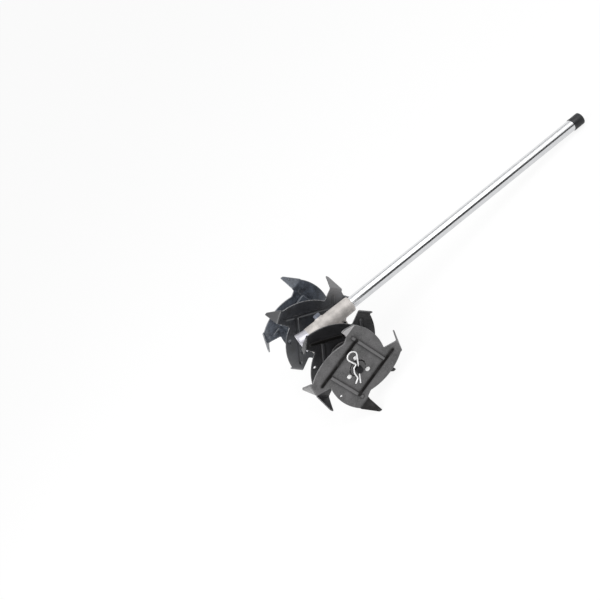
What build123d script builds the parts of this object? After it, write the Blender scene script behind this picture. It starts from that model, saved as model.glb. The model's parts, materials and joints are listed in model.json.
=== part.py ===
"""Mini cultivator attachment for a split-shaft power head.

Tool frame, used for modelling: the tine axle is the Y axis, the shaft runs along +X above it,
+Z is the top of the gear housing, and the tine set on the -Y side is the right-hand one.
At the end everything is laid down on the ground as it rests, on two claw tips and the shaft's cap.
"""
from build123d import *
from math import acos, asin, atan2, cos, degrees, hypot, pi, radians, sin, tan
import os

# ------------------------------------------------------------------ driving dimensions (mm, degrees)
# shaft tube and its cap
tube_od = 25.4
tube_wall = 1.6
tube_shown = 645.0            # from the collar's mouth to the tube's free end
tube_socket = 45.0            # how deep the tube sits in the collar
button_hole_d = 7.0           # for the power head's spring button
button_hole_inset = 36.0      # from the tube's free end, on its underside
cap_cover = 24.5              # length of tube inside the cap
cap_wall = 1.2
cap_end_wall = 1.5
cap_end_round = 1.2

# worm drive
gear_module = 2.0
worm_pitch_d = 20.0
worm_length = 32.0
worm_shoulder = 1.6           # higher than the journals
journal_tail = 1.5            # the lower journal beyond its snap ring
wheel_teeth = 32
wheel_face = 12.0
wheel_rim = 4.0               # rim under the tooth roots
wheel_web = 8.0
wheel_hub_d = 24.0
key_side = 5.0
key_length = 17.0
pressure_angle = 20.0
root_clearance = 0.25         # of the module
tooth_thinning = 0.30         # each member's tooth, for backlash

# drive shaft
drive_d = 8.0
drive_square = 5.5            # across the flats of both square ends
drive_square_length = 14.0
drive_recess = 12.0           # free end behind the tube's end
coupling_d = 14.0
coupling_length = 14.0
coupling_room = 2.0           # round the coupling, in the casting
socket_floor = 1.0            # the coupling's solid end
shaft_end_gap = 1.0           # the drive shaft's end off that floor
bush_length = 24.0
bush_count = 4

# bearings: bore, outside diameter, width
worm_bearing_bore = 10.0
worm_bearing_od = 26.0
worm_bearing_width = 8.0
worm_bearing_reach = 28.0     # from the axle's plane to each bearing's inner face
axle_bearing_bore = 17.0
axle_bearing_od = 35.0
axle_bearing_width = 10.0
axle_bearing_reach = 9.5
bearing_ring_share = 6.5      # od less bore, over a ring's thickness
bearing_shield_t = 0.7
bearing_shield_gap = 0.15
bearing_shoulder = 3.5        # how far the casting reaches in behind a bearing's outer ring
seal_width = 7.0
seal_lip_t = 2.5
seal_rim_t = 3.0
seal_gap = 1.5                # between bearing and seal, where the snap ring runs
snap_ring_t = 1.0
snap_ring_height = 2.2
snap_groove_depth = 0.6
snap_ring_opening = 0.7       # against the shaft's radius

# gear housing
collar_reach = 84.0           # from the axle's plane to the collar's mouth
nose_reach = 52.0             # from the axle's plane to the nose cover's end
nose_joint = 27.0             # where the nose cover meets the casting
nose_spigot = 4.0
nose_joint_d = 37.0
nose_straight = 4.0           # before it flares
nose_end_d = 43.0
nose_round = 1.5
nose_thread_wall = 2.5
nose_hollow = 5.0             # behind the bearing
spanner_hole_d = 4.0
spanner_hole_depth = 4.0
spanner_hole_spread = 19.4    # between the two
tunnel_d = 38.4               # round the worm
collar_d = 34.4               # behind the mouth's rounding: the tunnel tapers towards it
tunnel_bore_d = 26.4
collar_round = 4.0
chamber_wall = 4.0
chamber_side_wall = 5.0
case_overlap = 1.3            # the right-hand joint face beyond the tunnel's side
case_round = 3.2
gear_side_gap = 2.0
gear_tip_gap = 2.0
bearing_boss_wall = 4.5
boss_overhang = 1.0           # the boss beyond the seal
boss_chamfer = 1.5
cover_flange = 4.0
gasket_t = 0.5
cover_screw_d = 4.0
cover_screw_angles = (-90, -28, -152, 38, 158)
cover_lug_d = 11.0
cover_lug_depth = 14.0
cover_screw_depth = 10.0      # into the casting
clamp_screw_d = 6.0
clamp_screw_place = 47.5
clamp_ear_height = 13.0
clamp_ear_width = 20.0
clamp_ear_root = 6.0          # sunk into the collar
clamp_ear_margin = 6.0        # to each side of the screw
clamp_ear_round = 3.0
clamp_screw_drop = 9.5        # below the tube
clamp_screw_proud = 2.0       # out of the far ear
clamp_slit = 2.5
locating_screw_d = 5.0
locating_screw_place = 66.0
locating_seat = 18.4          # the pad under its head, from the shaft's line
locating_pad_d = 11.0
plug_place = 10.0
plug_tilt = 30.0              # from straight up, towards the left side
plug_d = 8.0
plug_head = 13.0              # across the flats
plug_head_height = 5.4
plug_chamfer = 0.8
plug_collar = 1.2             # the round collar under the head: thickness and margin
plug_depth = 7.0
plug_washer_t = 1.0
plug_pad_margin = 2.5
plug_pad_height = 1.5

# socket-head screws, against their diameter
screw_head = 1.6
screw_head_height = 0.9
screw_socket = 0.75

# axle and hubs
axle_round_reach = 34.0       # the round middle, to each side
axle_hex = 14.0               # across the flats of both ends
axle_tail = 7.5               # the axle beyond the clip's hole
axle_chamfer = 1.0
stop_washer_t = 2.0
stop_washer_d = 28.0
stop_washer_bore = 16.6       # over the axle's hexagon
hub_tube_d = 28.0
hub_boss_d = 33.0
hub_boss_proud = 2.5          # the boss beyond the plate it carries
hub_flange_d = 62.0
hub_flange_t = 3.0

# tine plates
sheet = 3.0
outer_plate_reach = 125.0     # from the middle to the outer plate's mid-plane
inner_plate_reach = 63.5
outer_plate_turn = -71.4      # where the first claw of the outer plate points at rest
inner_plate_lag = 45.0        # the inner plate's claws trail the outer ones
claws_per_plate = 4
notch = (62.0, 24.0)          # the bottom of the notch before each claw, in the claw's own axes
body_crest = (24.4, 75.1)     # the roundest point of the body behind a claw
notch_round = 4.0
bend_radius = 3.0             # inside radius of each fold
flap_room = (60.0, 44.0)      # beyond a fold and along it: holds the whole flap
mild_heel = (66.5, 39.5)
mild_heel_round = 8.0
mild_tip = (104.0, 43.0)
mild_tip_back = (101.5, 49.5)
mild_shoulder = (70.5, 66.5)
mild_fold = (68.0, 54.0)
mild_fold_turn = 0.0
mild_bend = 37.0
steep_tip = (118.6, 56.4)
steep_tip_back = (113.2, 61.0)
steep_shoulder = (73.5, 65.8)
steep_edge = (88.0, 39.6)
steep_fold = (80.1, 51.9)
steep_fold_turn = 24.1
steep_bend = 70.0
bead_square = 44.0            # half the side of the square that the pressed beads draw
bead_width = 7.0
bead_height = 2.2
bead_taper = 40.0
bead_edge = 1.0               # the ridge is wider than its hollow by this on each side
mild_bead_end = 54.0
steep_bead_end = 68.0
hang_hole = (9.8, 65.7)       # small hole in the first claw's body
hang_hole_d = 5.5
rivet_circle_d = 48.0
rivet_turn = 22.0             # the first rivet ahead of the first claw
rivet_count = 3
rivet_d = 6.0
rivet_head_d = 10.0
rivet_head_height = 2.4

# R-clip
clip_wire = 3.0
clip_turn = 67.6              # the straight leg's direction
clip_leg = 33.0               # the straight leg to each side of the axle
clip_loop_r = 10.5
clip_loop_sweep = 225.0
clip_grip_gap = 0.5           # the waved leg off the axle's corners
clip_pinch_gap = 1.2          # the waved leg off the straight one, at its pinch
clip_round = 3.0
clip_standoff = 0.4           # above the hub's boss

# clearances, on the radius unless said
press_gap = 0.02              # pressed and screwed fits
running_gap = 0.05
cap_gap = 0.10
clip_gap = 0.10               # the clip in its hole
screw_hole_gap = 0.15         # screws through the cover
spigot_gap = 0.20             # the nose cover's spigot off its seat
tube_gap = 0.05
soft_gap = 0.30
face_gap = 0.10               # between faces that turn against each other

# ------------------------------------------------------------------ derived places
tube_r = tube_od / 2
wheel_pitch_d = gear_module * wheel_teeth
centre_distance = (wheel_pitch_d + worm_pitch_d) / 2
addendum = gear_module
dedendum = gear_module * (1 + root_clearance)
worm_tip_r = worm_pitch_d / 2 + addendum
worm_root_r = worm_pitch_d / 2 - dedendum
wheel_tip_r = wheel_pitch_d / 2 + addendum
wheel_root_r = wheel_pitch_d / 2 - dedendum
worm_lead = pi * gear_module
tube_start = collar_reach - tube_socket
tube_end = collar_reach + tube_shown
cap_mouth = tube_end - cap_cover
cap_end = tube_end + cap_end_wall
cap_r = tube_r + cap_gap + cap_wall
drive_end = tube_end - drive_recess
worm_bearing_end = worm_bearing_reach + worm_bearing_width
coupling_end = tube_start + coupling_length
chamber_r = wheel_tip_r + gear_tip_gap
chamber_half = wheel_face / 2 + gear_side_gap
case_r = chamber_r + chamber_wall
case_left = chamber_half + chamber_side_wall
case_right = tunnel_d / 2 + case_overlap
cover_face = case_right + gasket_t
axle_bearing_end = axle_bearing_reach + axle_bearing_width
seal_start = axle_bearing_end + seal_gap
nose_spigot_r = tunnel_bore_d / 2 + nose_thread_wall
plug_seat = tunnel_d / 2 + plug_pad_height
boss_end = seal_start + seal_width + boss_overhang
boss_r = axle_bearing_od / 2 + bearing_boss_wall
lug_circle_r = case_r + 1.0
axle_r = axle_bearing_bore / 2
hub_start = axle_round_reach + stop_washer_t + face_gap
outer_face = outer_plate_reach + sheet / 2
hub_end = outer_face + hub_boss_proud
clip_reach = hub_end + clip_standoff + clip_wire / 2
axle_end = clip_reach + axle_tail

BASE = (Align.CENTER, Align.CENTER, Align.MIN)


# ------------------------------------------------------------------ small helpers
def on_shaft(x0, x1, radius):
    """A round bar on the shaft's line, from x0 to x1."""
    return Pos(x0, 0, centre_distance) * Rot(0, 90, 0) * Cylinder(radius, x1 - x0, align=BASE)


def on_axle(y0, y1, radius):
    """A round bar on the axle's line, from y0 to y1."""
    return Pos(0, y0, 0) * Rot(-90, 0, 0) * Cylinder(radius, y1 - y0, align=BASE)


def ring_on_axle(y0, y1, inner, outer):
    return on_axle(y0, y1, outer) - on_axle(y0 - 1, y1 + 1, inner)


def ring_on_shaft(x0, x1, inner, outer):
    return on_shaft(x0, x1, outer) - on_shaft(x0 - 1, x1 + 1, inner)


def hex_on_axle(y0, y1, flats):
    """A hexagonal bar on the axle's line, one pair of flats square to the R-clip."""
    outline = Rot(0, 0, clip_turn + 30) * RegularPolygon(flats / 2, 6, major_radius=False)
    return Pos(0, y1, 0) * Rot(90, 0, 0) * extrude(outline, y1 - y0)


def both_sides(piece):
    """The piece and its mirror image through the housing's mid-plane."""
    return [piece, mirror(piece, Plane.XZ)]


def socket_screw(diameter, length):
    """A socket-head screw pointing down its own -Z, the head's underside at z = 0."""
    shank = Pos(0, 0, -length) * Cylinder(diameter / 2, length, align=BASE)
    height = diameter * screw_head_height
    head = Cylinder(diameter * screw_head / 2, height, align=BASE)
    head = chamfer(head.edges().sort_by(Axis.Z)[-1], height / 8)
    socket = RegularPolygon(diameter * screw_socket / 2, 6, major_radius=False)
    return shank + head - Pos(0, 0, height / 2) * extrude(socket, height)


# ------------------------------------------------------------------ shaft
def shaft_tube():
    tube = ring_on_shaft(tube_start, tube_end, tube_r - tube_wall, tube_r)
    hole = Cylinder(button_hole_d / 2, tube_od, align=BASE)
    tube -= Pos(tube_end - button_hole_inset, 0, centre_distance - tube_od) * hole
    bore = Cylinder(locating_screw_d / 2 + running_gap, tube_od, align=BASE)
    tube -= Pos(locating_screw_place, 0, centre_distance) * Rot(-90, 0, 0) * bore
    return tube


def shaft_cap():
    shell = on_shaft(cap_mouth, cap_end, cap_r)
    shell = fillet(shell.edges().sort_by(Axis.X)[-1], cap_end_round)
    return shell - on_shaft(cap_mouth - 1, tube_end, tube_r + cap_gap)


def drive_square_bar(x0, x1, side):
    return Pos(x0, 0, centre_distance) * Rot(0, 90, 0) * Box(side, side, x1 - x0, align=BASE)


def drive_shaft():
    bar = on_shaft(coupling_end + face_gap, drive_end - drive_square_length, drive_d / 2)
    bar += drive_square_bar(tube_start + socket_floor + shaft_end_gap, drive_end, drive_square)
    return bar


def shaft_bushes():
    """Rubber-jacketed bushes that hold the drive shaft in the middle of the tube."""
    spacing = (drive_end - coupling_end) / (bush_count + 0.5)
    first = coupling_end + spacing / 2
    inner = drive_d / 2 + running_gap
    outer = tube_r - tube_wall - press_gap
    starts = [first + i * spacing for i in range(bush_count)]
    return [ring_on_shaft(start, start + bush_length, inner, outer) for start in starts]


# ------------------------------------------------------------------ bearings, seals and rings
def bearing_outer(bore, od, width):
    """Outer ring with its two shields, on the Z axis from z = 0."""
    band = (od - bore) / bearing_ring_share
    r_out = od / 2 - press_gap
    r_in = od / 2 - band
    shield_r = bore / 2 + band + bearing_shield_gap
    shield_t = bearing_shield_t
    with_shields = [
        (r_out, 0), (r_out, width), (shield_r, width), (shield_r, width - shield_t),
        (r_in, width - shield_t), (r_in, shield_t), (shield_r, shield_t), (shield_r, 0),
    ]
    return revolve(Plane.XZ * make_face(Polyline(*with_shields, close=True)), Axis.Z)


def bearing_inner(bore, od, width):
    """Inner ring on the Z axis from z = 0."""
    band = (od - bore) / bearing_ring_share
    return Cylinder(bore / 2 + band, width, align=BASE) - Cylinder(bore / 2 + press_gap, width, align=BASE)


def worm_places():
    return [
        Pos(worm_bearing_reach, 0, centre_distance) * Rot(0, 90, 0),
        Pos(-worm_bearing_reach, 0, centre_distance) * Rot(0, -90, 0),
    ]


def axle_places():
    return [Pos(0, axle_bearing_reach, 0) * Rot(-90, 0, 0), Pos(0, -axle_bearing_reach, 0) * Rot(90, 0, 0)]


def worm_bearings():
    ring = bearing_outer(worm_bearing_bore, worm_bearing_od, worm_bearing_width)
    return [place * ring for place in worm_places()]


def worm_bearing_races():
    ring = bearing_inner(worm_bearing_bore, worm_bearing_od, worm_bearing_width)
    return [place * ring for place in worm_places()]


def axle_bearings():
    ring = bearing_outer(axle_bearing_bore, axle_bearing_od, axle_bearing_width)
    return [place * ring for place in axle_places()]


def axle_bearing_races():
    ring = bearing_inner(axle_bearing_bore, axle_bearing_od, axle_bearing_width)
    return [place * ring for place in axle_places()]


def axle_seals():
    outer = axle_bearing_od / 2
    seal = ring_on_axle(seal_start, seal_start + seal_width, axle_r + soft_gap, outer - press_gap)
    groove = ring_on_axle(
        seal_start - 1, seal_start + seal_width / 2, axle_r + seal_lip_t, outer - seal_rim_t)
    return both_sides(seal - groove)


def snap_ring(shaft_r):
    """Open ring on the Z axis from z = 0, seated in its groove."""
    seat = shaft_r - snap_groove_depth + press_gap
    ring = Cylinder(seat + snap_ring_height, snap_ring_t, align=BASE)
    ring -= Cylinder(seat, snap_ring_t, align=BASE)
    return ring - Pos(shaft_r, 0, 0) * Box(shaft_r * 2, shaft_r * snap_ring_opening, snap_ring_t * 3)


def axle_snap_rings():
    return [place * Pos(0, 0, axle_bearing_width) * snap_ring(axle_r) for place in axle_places()]


def worm_snap_ring():
    return worm_places()[1] * Pos(0, 0, worm_bearing_width) * snap_ring(worm_bearing_bore / 2)


# ------------------------------------------------------------------ worm and wheel
def worm_screw():
    """Single-start right-hand screw on the Z axis, centred on z = 0, its thread crossing -X there."""
    turns = worm_length / worm_lead + 2
    slope = tan(radians(pressure_angle))
    half_width = (worm_lead / 2 - tooth_thinning) / 2
    sunk = 0.4                                 # the thread's root inside the core
    tip_half = half_width - addendum * slope
    root_half = half_width + (dedendum + sunk) * slope
    profile = make_face(Polyline(
        (worm_root_r - sunk, -root_half), (worm_tip_r, -tip_half),
        (worm_tip_r, tip_half), (worm_root_r - sunk, root_half), close=True))
    path = Helix(worm_lead, turns * worm_lead, worm_root_r)
    thread = Rot(0, 0, 180 - 180 * turns) * Pos(0, 0, -turns * worm_lead / 2) * sweep(
        Plane.XZ * profile, path, is_frenet=True)
    thread = thread & Cylinder(worm_tip_r + 1, worm_length)
    return Cylinder(worm_root_r, worm_length) + thread


def worm():
    """The screw with its two journals and the socket that the drive shaft plugs into."""
    bar = Pos(0, 0, centre_distance) * Rot(0, 90, 0) * Rot(0, 0, 180) * worm_screw()
    for side in (1, -1):
        shoulder = sorted((side * worm_length / 2, side * worm_bearing_reach))
        bar += on_shaft(*shoulder, worm_bearing_bore / 2 + worm_shoulder)
    journal_end = worm_bearing_end + snap_ring_t + journal_tail
    bar += on_shaft(-journal_end, -worm_bearing_reach, worm_bearing_bore / 2)
    bar += on_shaft(worm_bearing_reach, tube_start, worm_bearing_bore / 2)
    bar += on_shaft(tube_start, coupling_end, coupling_d / 2)
    bar -= drive_square_bar(tube_start + socket_floor, coupling_end + 1, drive_square + 2 * running_gap)
    groove_start = -worm_bearing_end - snap_ring_t - face_gap
    return bar - ring_on_shaft(
        groove_start, -worm_bearing_end, worm_bearing_bore / 2 - snap_groove_depth, worm_bearing_bore)


def involute_angle(radius, base_r):
    """The involute function at a radius, in radians."""
    pressure = acos(base_r / radius)
    return tan(pressure) - pressure


def worm_wheel():
    """Helical wheel with a tooth space at the top, where the worm's thread lies."""
    pitch_r = wheel_pitch_d / 2
    base_r = pitch_r * cos(radians(pressure_angle))
    half_tooth = (pi * gear_module / 2 - tooth_thinning) / 2 / pitch_r
    step = 2 * pi / wheel_teeth

    def flank(radius, side, centre):
        lean = half_tooth + involute_angle(pitch_r, base_r) - involute_angle(max(radius, base_r), base_r)
        angle = centre + side * lean
        return (radius * cos(angle), radius * sin(angle))

    mid_r = (base_r + wheel_tip_r) / 2
    edges = []
    for i in range(wheel_teeth):
        centre = pi / 2 + (i + 0.5) * step
        root_a = flank(wheel_root_r, -1, centre)
        tip_a = flank(wheel_tip_r, -1, centre)
        tip_b = flank(wheel_tip_r, 1, centre)
        root_b = flank(wheel_root_r, 1, centre)
        edges += [
            ThreePointArc(root_a, flank(mid_r, -1, centre), tip_a),
            Line(tip_a, tip_b),
            ThreePointArc(tip_b, flank(mid_r, 1, centre), root_b),
            Line(root_b, flank(wheel_root_r, -1, centre + step)),
        ]
    outline = make_face(edges)
    lead_angle = atan2(worm_lead, pi * worm_pitch_d)
    twist = degrees(wheel_face * tan(lead_angle) / pitch_r)
    teeth = Solid.extrude_linear_with_rotation(
        outline.face().outer_wire(), (0, 0, 0), (0, 0, wheel_face), twist)
    gear = Rot(90, 0, 0) * Pos(0, 0, -wheel_face / 2) * Rot(0, 0, -twist / 2) * teeth
    waist = wheel_root_r - wheel_rim
    for side in (1, -1):
        y0, y1 = sorted((side * wheel_web / 2, side * wheel_face))
        gear -= ring_on_axle(y0, y1, wheel_hub_d / 2, waist)
    gear += on_axle(-axle_bearing_reach, axle_bearing_reach, wheel_hub_d / 2)
    gear -= on_axle(-chamber_r, chamber_r, axle_r + press_gap)
    return gear - key_block(press_gap)


def key_block(extra):
    """The wheel's key, grown by extra on every side."""
    side = key_side + 2 * extra
    return Pos(0, 0, axle_r) * Box(side, key_length + 2 * extra, side)


# ------------------------------------------------------------------ axle
def axle():
    bar = on_axle(-axle_round_reach, axle_round_reach, axle_r)
    for side in (1, -1):
        y0, y1 = sorted((side * axle_round_reach, side * axle_end))
        end = hex_on_axle(y0, y1, axle_hex)
        end = chamfer(end.faces().sort_by(Axis.Y)[-1 if side > 0 else 0].edges(), axle_chamfer)
        hole = Rot(0, 90 - clip_turn, 0) * Cylinder(clip_wire / 2 + clip_gap, axle_hex * 2)
        end -= Pos(0, side * clip_reach, 0) * hole
        bar += end
        y0, y1 = sorted((side * axle_bearing_end, side * (axle_bearing_end + snap_ring_t + face_gap)))
        bar -= ring_on_axle(y0, y1, axle_r - snap_groove_depth, axle_r + 1)
    return bar - key_block(press_gap)


def stop_washers():
    """Washers between the axle's shoulders and the hubs."""
    end = axle_round_reach + stop_washer_t
    return both_sides(ring_on_axle(axle_round_reach, end, stop_washer_bore / 2, stop_washer_d / 2))


# ------------------------------------------------------------------ gear housing
def lug_spots():
    return [
        (lug_circle_r * cos(radians(angle)), lug_circle_r * sin(radians(angle)))
        for angle in cover_screw_angles
    ]


def bar_at(x, z, y0, y1, radius):
    """A round bar along Y at (x, z)."""
    return Pos(x, 0, z) * on_axle(y0, y1, radius)


def clamp_screw_height():
    return centre_distance - tube_r - clamp_screw_drop


def plug_frame():
    """On the tunnel's surface, +Z pointing out along the grease plug."""
    return Pos(plug_place, 0, centre_distance) * Rot(-plug_tilt, 0, 0)


def locating_frame():
    """On the shaft's line, +Z pointing to the left side along the locating screw."""
    return Pos(locating_screw_place, 0, centre_distance) * Rot(-90, 0, 0)


def nose_frame():
    """On the shaft's line at the nose cover's joint, +Z pointing to the nose's end."""
    return Pos(-nose_joint, 0, centre_distance) * Rot(0, -90, 0)


def nose_form(room=0):
    """The nose cover's turned outside, room larger all round."""
    length = nose_reach - nose_joint
    joint_r, end_r = nose_joint_d / 2 + room, nose_end_d / 2 + room
    outline = Polyline(
        (0, 0), (joint_r, 0), (joint_r, nose_straight), (end_r, length), (0, length), close=True)
    return revolve(Plane.XZ * make_face(outline), Axis.Z)


def gear_housing():
    tunnel = Cone(tunnel_d / 2, collar_d / 2, collar_reach + nose_joint, align=BASE)
    tunnel = fillet(tunnel.edges().sort_by(Axis.Z)[-1], collar_round)
    tunnel = Pos(-nose_joint, 0, centre_distance) * Rot(0, 90, 0) * tunnel
    case = on_axle(-case_right, case_left, case_r)
    case = fillet(case.edges().sort_by(Axis.Y)[-1], case_round)
    boss = on_axle(0, boss_end, boss_r)
    boss = chamfer(boss.edges().sort_by(Axis.Y)[-1], boss_chamfer)
    ear_start = clamp_screw_place - clamp_ear_margin
    ears = Box(2 * clamp_ear_margin, clamp_ear_width, clamp_ear_height + clamp_ear_root,
               align=(Align.MIN, Align.CENTER, Align.MAX))
    ears = Pos(ear_start, 0, centre_distance - collar_d / 2 + clamp_ear_root) * ears
    ears = fillet(ears.edges().filter_by(Axis.Y), clamp_ear_round)
    casting = tunnel + case + boss + ears
    for x, z in lug_spots():
        casting += bar_at(x, z, -case_right, -case_right + cover_lug_depth, cover_lug_d / 2)
    pad = Cylinder(plug_head / 2 + plug_pad_margin, plug_seat, align=BASE)
    casting += plug_frame() * pad
    casting += locating_frame() * Cylinder(locating_pad_d / 2, locating_seat, align=BASE)

    casting -= nose_frame() * nose_form(soft_gap)
    # bores on the shaft's line
    casting -= on_shaft(-nose_joint - 1, worm_bearing_reach, tunnel_bore_d / 2)
    casting -= on_shaft(-nose_joint - 1, -nose_joint + nose_spigot, nose_spigot_r)
    casting -= on_shaft(worm_bearing_reach - 1, worm_bearing_end, worm_bearing_od / 2)
    casting -= on_shaft(worm_bearing_reach, tube_start + 1, coupling_d / 2 + coupling_room)
    casting -= on_shaft(tube_start, collar_reach + 1, tube_r + tube_gap)
    # the gear chamber and the left bearing's seat
    casting -= on_axle(-case_right - 1, chamber_half, chamber_r)
    casting -= on_axle(0, axle_bearing_reach + 1, axle_bearing_od / 2 - bearing_shoulder)
    casting -= on_axle(axle_bearing_reach, boss_end + 1, axle_bearing_od / 2)
    # screw holes
    hole_end = -case_right + cover_screw_depth + 1
    for x, z in lug_spots():
        casting -= bar_at(x, z, -case_right - 1, hole_end, cover_screw_d / 2 + press_gap)
    slit_length = collar_reach + 1 - ear_start
    slit = Box(slit_length, clamp_slit, centre_distance, align=(Align.MAX, Align.CENTER, Align.MAX))
    casting -= Pos(collar_reach + 1, 0, centre_distance) * slit
    screw_r = clamp_screw_d / 2 + press_gap
    casting -= bar_at(clamp_screw_place, clamp_screw_height(), -clamp_ear_width, clamp_ear_width, screw_r)
    casting -= plug_frame() * Cylinder(plug_d / 2 + press_gap, tunnel_d, align=BASE)
    casting -= locating_frame() * Cylinder(locating_screw_d / 2 + press_gap, tunnel_d, align=BASE)
    return casting


def cover_outline(y0, y1):
    plate = on_axle(y0, y1, case_r)
    for x, z in lug_spots():
        plate += bar_at(x, z, y0, y1, cover_lug_d / 2)
    return plate


def side_cover():
    cover = cover_outline(-cover_face - cover_flange, -cover_face)
    cover += on_axle(-cover_face, -chamber_half, boss_r)
    outer_boss = on_axle(-boss_end, -cover_face, boss_r)
    cover += chamfer(outer_boss.edges().sort_by(Axis.Y)[0], boss_chamfer)
    cover -= on_axle(-axle_bearing_reach - 1, 0, axle_bearing_od / 2 - bearing_shoulder)
    cover -= on_axle(-boss_end - 1, -axle_bearing_reach, axle_bearing_od / 2)
    for x, z in lug_spots():
        cover -= bar_at(x, z, -boss_end, 0, cover_screw_d / 2 + screw_hole_gap)
    return cover


def cover_gasket():
    gasket = cover_outline(-cover_face, -case_right)
    gasket -= on_axle(-cover_face - 1, 0, chamber_r)
    for x, z in lug_spots():
        gasket -= bar_at(x, z, -boss_end, 0, cover_screw_d / 2 + screw_hole_gap)
    return gasket


def cover_screws():
    screw = socket_screw(cover_screw_d, cover_flange + gasket_t + cover_screw_depth)
    return [Pos(x, -cover_face - cover_flange, z) * Rot(90, 0, 0) * screw for x, z in lug_spots()]


def nose_cover():
    """Screws into the casting and carries the worm's lower bearing."""
    length = nose_reach - nose_joint
    body = nose_form()
    body = fillet(body.edges().sort_by(Axis.Z)[-1], nose_round)
    body += Pos(0, 0, spigot_gap - nose_spigot) * Cylinder(nose_spigot_r - press_gap, nose_spigot, align=BASE)
    tunnel = Cylinder(tunnel_bore_d / 2, worm_bearing_reach - nose_joint + nose_spigot, align=BASE)
    body -= Pos(0, 0, -nose_spigot) * tunnel
    body -= Cylinder(worm_bearing_od / 2, worm_bearing_end - nose_joint, align=BASE)
    body -= Cylinder(worm_bearing_bore, worm_bearing_end - nose_joint + nose_hollow, align=BASE)
    hole = Cylinder(spanner_hole_d / 2, spanner_hole_depth + 1, align=BASE)
    for side in (1, -1):
        body -= Pos(side * spanner_hole_spread / 2, 0, length - spanner_hole_depth) * hole
    return nose_frame() * body


def clamp_screw():
    screw = socket_screw(clamp_screw_d, clamp_ear_width + clamp_screw_proud)
    return Pos(clamp_screw_place, clamp_ear_width / 2, clamp_screw_height()) * Rot(-90, 0, 0) * screw


def locating_screw():
    screw = socket_screw(locating_screw_d, locating_seat - (tube_r - tube_wall))
    return locating_frame() * Pos(0, 0, locating_seat) * screw


def grease_plug():
    head = extrude(RegularPolygon(plug_head / 2, 6, major_radius=False), plug_head_height)
    head = chamfer(head.faces().sort_by(Axis.Z)[-1].edges(), plug_chamfer)
    collar = Cylinder(plug_head / 2 + plug_collar, plug_collar, align=BASE)
    shank = Pos(0, 0, -plug_depth) * Cylinder(plug_d / 2, plug_depth, align=BASE)
    return plug_frame() * Pos(0, 0, plug_seat + plug_washer_t) * (shank + collar + head)


def plug_washer():
    washer = Cylinder(plug_head / 2 + plug_collar, plug_washer_t, align=BASE)
    washer -= Cylinder(plug_d / 2 + running_gap, plug_washer_t, align=BASE)
    return plug_frame() * Pos(0, 0, plug_seat) * washer


# ------------------------------------------------------------------ tine plates
# A claw's own axes: x points along the claw from the middle of the plate, and the plate turns
# clockwise from there, so the points above are taken with y downwards.
def down(point):
    return (point[0], -point[1])


def turned(point, k):
    angle = radians(-360 / claws_per_plate * k)
    x, y = down(point)
    return (x * cos(angle) - y * sin(angle), x * sin(angle) + y * cos(angle))


def claw_edges(style, k):
    """The outline from one notch round a claw to the next notch."""
    start = turned(notch, k)
    stop = turned(notch, k + 1)
    if style == "mild":
        tip, back, shoulder = mild_tip, mild_tip_back, mild_shoulder
        leading = Polyline(start, turned(mild_heel, k), turned(tip, k))
    else:
        tip, back, shoulder = steep_tip, steep_tip_back, steep_shoulder
        leading = ThreePointArc(start, turned(steep_edge, k), turned(tip, k))
    return [
        leading,
        Line(turned(tip, k), turned(back, k)),
        Line(turned(back, k), turned(shoulder, k)),
        ThreePointArc(turned(shoulder, k), turned(body_crest, k), stop),
    ]


def near_radius(point, tolerance=0.01):
    radius = hypot(*point)
    return lambda vertex: abs(hypot(vertex.X, vertex.Y) - radius) < tolerance


def fold_claw(flap, bend, upwards):
    """Bend a flap, lying beyond x = 0 in the fold's own frame, and add the curved strip."""
    chord = flap.edges().sort_by(Axis.X)[0].bounding_box()
    strip = Plane.YZ * Polyline(
        (chord.min.Y, 0), (chord.max.Y, 0), (chord.max.Y, sheet), (chord.min.Y, sheet), close=True)
    pivot = sheet + bend_radius if upwards else -bend_radius
    turn = -bend if upwards else bend
    axis = Axis((0, 0, pivot), (0, 1 if turn > 0 else -1, 0))
    curved = revolve(make_face(strip), axis, abs(turn))
    return [curved, Pos(0, 0, pivot) * Rot(0, turn, 0) * Pos(0, 0, -pivot) * extrude(flap, sheet)]


def pressed_bead(end):
    """A bead along its claw, on the outer face, with the hollow behind it."""
    length = bead_square + end
    middle = (end - bead_square) / 2
    place = Pos(middle, -bead_square, 0)
    ridge = extrude(SlotCenterToCenter(length, bead_width), bead_height, taper=bead_taper)
    hollow = extrude(SlotCenterToCenter(length, bead_width - 2 * bead_edge), bead_height, taper=bead_taper)
    return place * Pos(0, 0, sheet) * ridge, place * hollow


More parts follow.
